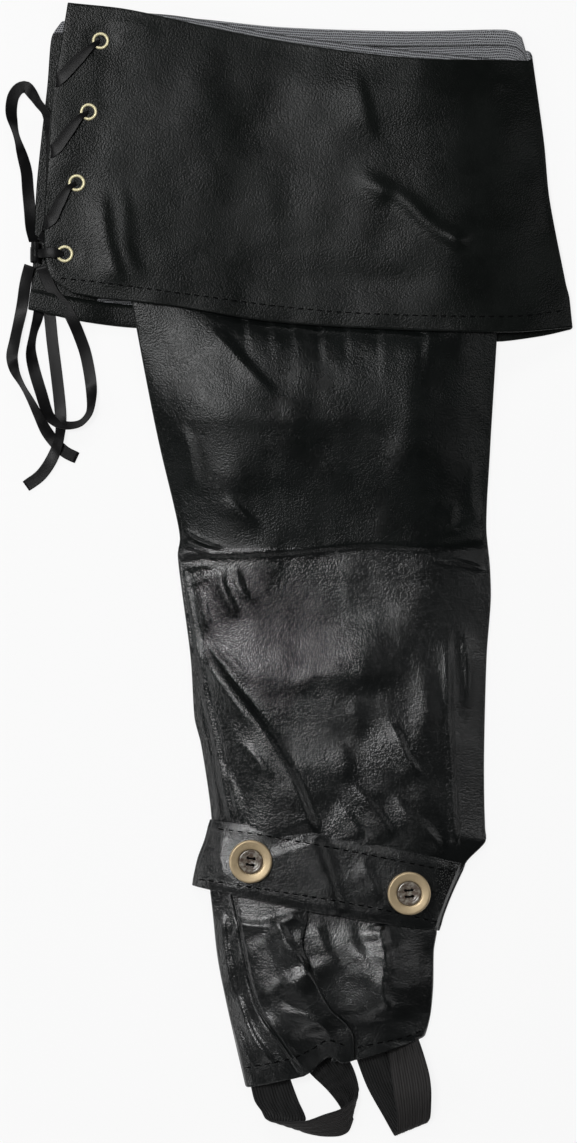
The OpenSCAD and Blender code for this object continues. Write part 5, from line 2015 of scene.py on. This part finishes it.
RIGHT_STIRRUP = Stirrup(
    "right",
    ((29.5, -256, 2.2), (30.5, -260, 2.2), (36.3, -275.3, 1.6), (44.8, -290.7, 1.2), (49.6, -299.3, 1),
     (50.5, -300.4, 1.6), (51.8, -298.5, 3.2), (51.9, -290, 6.5), (50.5, -280, 7.5), (49, -270, 5.5),
     (48, -262, 3.8), (47.2, -255, 3.6)),
    ((49, -250.5, 2.2), (50.5, -255, 2.2), (55, -270, 1.6), (61, -284.5, 1.2), (66.5, -291.5, 1),
     (68, -293.2, 1.6), (69.4, -291, 3.2), (69.9, -284, 6.5), (69.9, -275, 7.5), (68.8, -267, 5.5),
     (66, -257, 3.8), (63.5, -249.5, 3.6)))


# ---- Studio and main ---------------------------------------------------------------------------


FLOOR_DROP = -0.0004


@dataclass
class Studio:
    """Camera, lamps, world and floor."""

    world: float = 0.045
    reach: float = 2.3

    def camera(self) -> bpy.types.Object:
        """Makes the camera, straight above the object and looking down."""
        data = bpy.data.cameras.new("camera")
        data.lens, data.sensor_width, data.sensor_fit = LENS_MM, SENSOR_MM, "AUTO"
        data.clip_end = 50
        cam = bpy.data.objects.new("camera", data)
        cam.location = (CAMERA_X, CAMERA_Y, CAMERA_HEIGHT)
        bpy.context.scene.collection.objects.link(cam)
        bpy.context.scene.camera = cam
        return cam

    def lamp(self, name: str, tilt: float, azimuth: float, size: tuple, power: float) -> None:
        """Makes a soft rectangular lamp that points at the object.

        Args:
            name: the lamp's name.
            tilt: its angle off the vertical, in degrees.
            azimuth: its angle from +X in plan, in degrees.
            size: its two sides, in metres.
            power: in watts.
        """
        data = bpy.data.lights.new(name, "AREA")
        data.shape, data.size, data.size_y, data.energy = "RECTANGLE", size[0], size[1], power
        obj = bpy.data.objects.new(name, data)
        obj.location = self.towards(tilt, azimuth)
        obj.rotation_euler = (-Vector(obj.location)).to_track_quat("-Z", "Y").to_euler()
        bpy.context.scene.collection.objects.link(obj)

    def towards(self, tilt: float, azimuth: float) -> tuple:
        """The place of a lamp, from its tilt off the vertical and its azimuth from +X, in degrees."""
        t, a = math.radians(tilt), math.radians(azimuth)
        return (self.reach * math.sin(t) * math.cos(a), self.reach * math.sin(t) * math.sin(a),
                self.reach * math.cos(t))

    def floor(self) -> None:
        """Makes the pale floor, seen as white with a faint shadow."""
        side = 6.0
        mesh = bpy.data.meshes.new("floor")
        corners = ((-side, -side), (side, -side), (side, side), (-side, side))
        mesh.from_pydata([(x, y, FLOOR_DROP) for x, y in corners], [], [(0, 1, 2, 3)])
        floor = bpy.data.objects.new("floor", mesh)
        bpy.context.scene.collection.objects.link(floor)
        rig.stage(floor)
        material = bpy.data.materials.new("floor_paper")
        material.use_nodes = True
        tree = material.node_tree
        shader = tree.nodes["Principled BSDF"]
        shader.inputs["Base Color"].default_value = (0.8, 0.8, 0.8, 1)
        shader.inputs["Roughness"].default_value = 0.9
        path = add_node(tree, "ShaderNodeLightPath")
        seen = math_node(tree, "MAXIMUM", path.outputs["Is Camera Ray"], path.outputs["Is Glossy Ray"])
        seen = math_node(tree, "MAXIMUM", seen, path.outputs["Is Transmission Ray"])
        seen = math_node(tree, "MULTIPLY", seen, 0.86)
        glow = add_node(tree, "ShaderNodeEmission", {}, Color=(1, 1, 1, 1), Strength=1.0)
        mix = add_node(tree, "ShaderNodeMixShader", {}, _0=seen, _1=shader.outputs[0], _2=glow.outputs[0])
        tree.links.new(mix.outputs[0], tree.nodes["Material Output"].inputs["Surface"])
        floor.data.materials.append(material)

    def build(self) -> bpy.types.Object:
        """Makes the studio.

        Returns:
            The camera.
        """
        world = bpy.data.worlds.new("world")
        world.use_nodes = True
        background = world.node_tree.nodes["Background"]
        background.inputs[0].default_value = (1, 1, 1, 1)
        background.inputs[1].default_value = self.world
        bpy.context.scene.world = world
        bpy.context.scene.view_settings.view_transform = "Standard"
        self.lamp("key", 23, 150, (0.9, 0.8), 24)
        self.lamp("glint", 25, 150, (0.35, 0.25), 6)
        self.lamp("right", 52, 8, (0.4, 1.6), 5)
        self.lamp("top", 64, 100, (1.8, 0.5), 15)
        self.lamp("low_left", 68, 190, (1.6, 0.5), 9)
        self.lamp("below", 50, 255, (1.4, 0.6), 4)
        self.floor()
        return self.camera()


@dataclass
class Likeness:
    """How far each image point is from where its thing shows.

    Args:
        pieces: the finished pieces, without the cords.
    """

    pieces: dict

    def shown(self, name: str, near: tuple, reach: float) -> np.ndarray:
        """The image points of a piece's vertices that show.

        Args:
            name: the piece's name.
            near: an image point; only the vertices round it are taken.
            reach: how far round it.
        """
        places = np.array([v.co for v in self.pieces[name].data.vertices])
        pixels = pixels_of(places)
        kept = np.where(np.hypot(*(pixels - near).T) < reach)[0]
        eye = bpy.context.scene.camera.location
        seen = []
        for k in kept:
            start = Vector(places[k])
            way = (eye - start).normalized()
            if self.tree.ray_cast(start + way * 0.0003, way)[0] is None:
                seen.append(pixels[k])
        return np.array(seen).reshape(-1, 2)

    def edge(self, axis: int, last: bool) -> float:
        """Where the pieces' outermost vertices that show lie along an image axis."""
        outer = []
        for name, obj in self.pieces.items():
            pixels = pixels_of(np.array([v.co for v in obj.data.vertices]))
            best = pixels[pixels[:, axis].argmax() if last else pixels[:, axis].argmin()]
            found = self.shown(name, best, 6.0)
            outer += list(found[:, axis]) if len(found) else []
        return max(outer) if last else min(outer)

    @staticmethod
    def offset(pixels: np.ndarray, point: np.ndarray, way: tuple) -> list:
        """How far a thing shows from its point, in x and y.

        Args:
            pixels: the image points of its vertices that show.
            point: where it belongs.
            way: MIDDLE, NEAREST or the way out of a corner or an edge.
        """
        if way == MIDDLE:
            place = (pixels.min(0) + pixels.max(0)) / 2
        elif way == NEAREST:
            place = pixels[np.hypot(*(pixels - point).T).argmin()]
        else:
            if way[1] == 0:
                pixels = pixels[abs(pixels[:, 1] - point[1]) < SLAB_PX]
            place = pixels[(pixels @ np.array(way, float)).argmax()]
        off = [round(float(v), 1) for v in place - point]
        return [off[0], None] if way and way != NEAREST and way[1] == 0 else off

    def write(self) -> None:
        """Writes how far in x and y each thing shows from its point, and never stops the script."""
        self.tree = tree_of(*self.pieces.values())
        edges = {"left_edge": (0, False), "right_edge": (0, True), "top_edge": (1, False),
                 "bottom_edge": (1, True)}
        found = {}
        for name, point in IMAGE_POINTS.items():
            try:
                if name in edges:
                    axis, last = edges[name]
                    off = [None, None]
                    off[axis] = round(self.edge(axis, last) - point[axis], 1)
                else:
                    piece, way = SHOWN_BY[name]
                    off = self.offset(self.shown(piece, point, REACH_PX), np.array(point, float), way)
                found[name] = off
            except (ValueError, KeyError, IndexError) as error:
                found[name] = str(error)
        with open("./points.json", "w") as file:
            json.dump(found, file, indent=1)
        LOG.info("image points: %s", found)


def put(obj: bpy.types.Object, body: str, slot: str) -> bpy.types.Object:
    """Lets a piece ride a moving part and names its slot."""
    LOG.info("%s: %d faces, rides %s", obj.name, len(obj.data.polygons), body)
    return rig.slot(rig.ride(obj, body), slot)


def main() -> None:
    """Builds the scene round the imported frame."""
    logging.basicConfig(level=logging.INFO, format="%(message)s")
    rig.load()
    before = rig.bounds()
    Studio().build()
    bpy.context.view_layer.update()
    Bow().build()
    eyelets = Lacing().build()
    cuff = Cuff().build()
    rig.sheet(cuff[0], (0.54, 0.175), "folded", rests_on=["leg"], area=0.075)
    for obj in cuff:
        put(obj, "shaft_upper", "pu_leather" if obj is cuff[0] else "sewing_thread")
    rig.replaces(cuff[0], "cuff_front", "cuff_back")
    leg = LegTube().build(cuff[0])
    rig.sheet(leg[0], (0.40, 0.47), "laid", rests_on=["floor"], area=0.165)
    for obj in leg:
        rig.blend(obj, "shaft_upper", "shaft_lower", (0.018, 0.034, 0.008), (0.018, -0.01, 0.008))
        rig.slot(obj, "pu_leather")
    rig.replaces(leg[0], "leg_front_upper", "leg_back_upper", "leg_front_lower", "leg_back_lower")
    band = AnkleBand().build()
    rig.sheet(band[0], (0.29, 0.036), "laid", rests_on=["leg"])
    for obj in band:
        put(obj, "shaft_lower", "pu_leather" if obj is band[0] else "sewing_thread")
    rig.replaces(band[0], "ankle_strap_front", "ankle_strap_back")
    foot = FootFlap().build()
    for obj in foot:
        if "panel" in obj.name:
            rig.blend(obj, "shaft_lower", "foot", (0.009, -0.166, 0.01), (0.012, -0.196, 0.01))
            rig.slot(obj, "pu_leather")
        else:
            put(obj, "foot", "sewing_thread")
    for obj, node, flat, area in zip(foot, ("foot_gore", "foot_front_left", "foot_front_right", "foot_back"),
                                     ((0.034, 0.114), (0.048, 0.112), (0.08, 0.1), (0.125, 0.1)),
                                     (0.0023, 0.0039, 0.0058, 0.0092)):
        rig.replaces(obj, node)
        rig.sheet(obj, flat, "laid", rests_on=["floor"], area=area)
    buttons = Button("left", -8).build() + Button("right", 6).build()
    loops = LEFT_STIRRUP.build() + RIGHT_STIRRUP.build()
    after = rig.bounds()
    with open("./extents.json", "w") as file:
        json.dump({"cad": [list(v) for v in before], "dressed": [list(v) for v in after]}, file)
    solid = [*cuff, *leg, *band, *foot, *buttons, *loops, *(o for o in eyelets if "lace" not in o.name)]
    Likeness({obj.name: obj for obj in solid}).write()


if __name__ == "__main__":
    main()
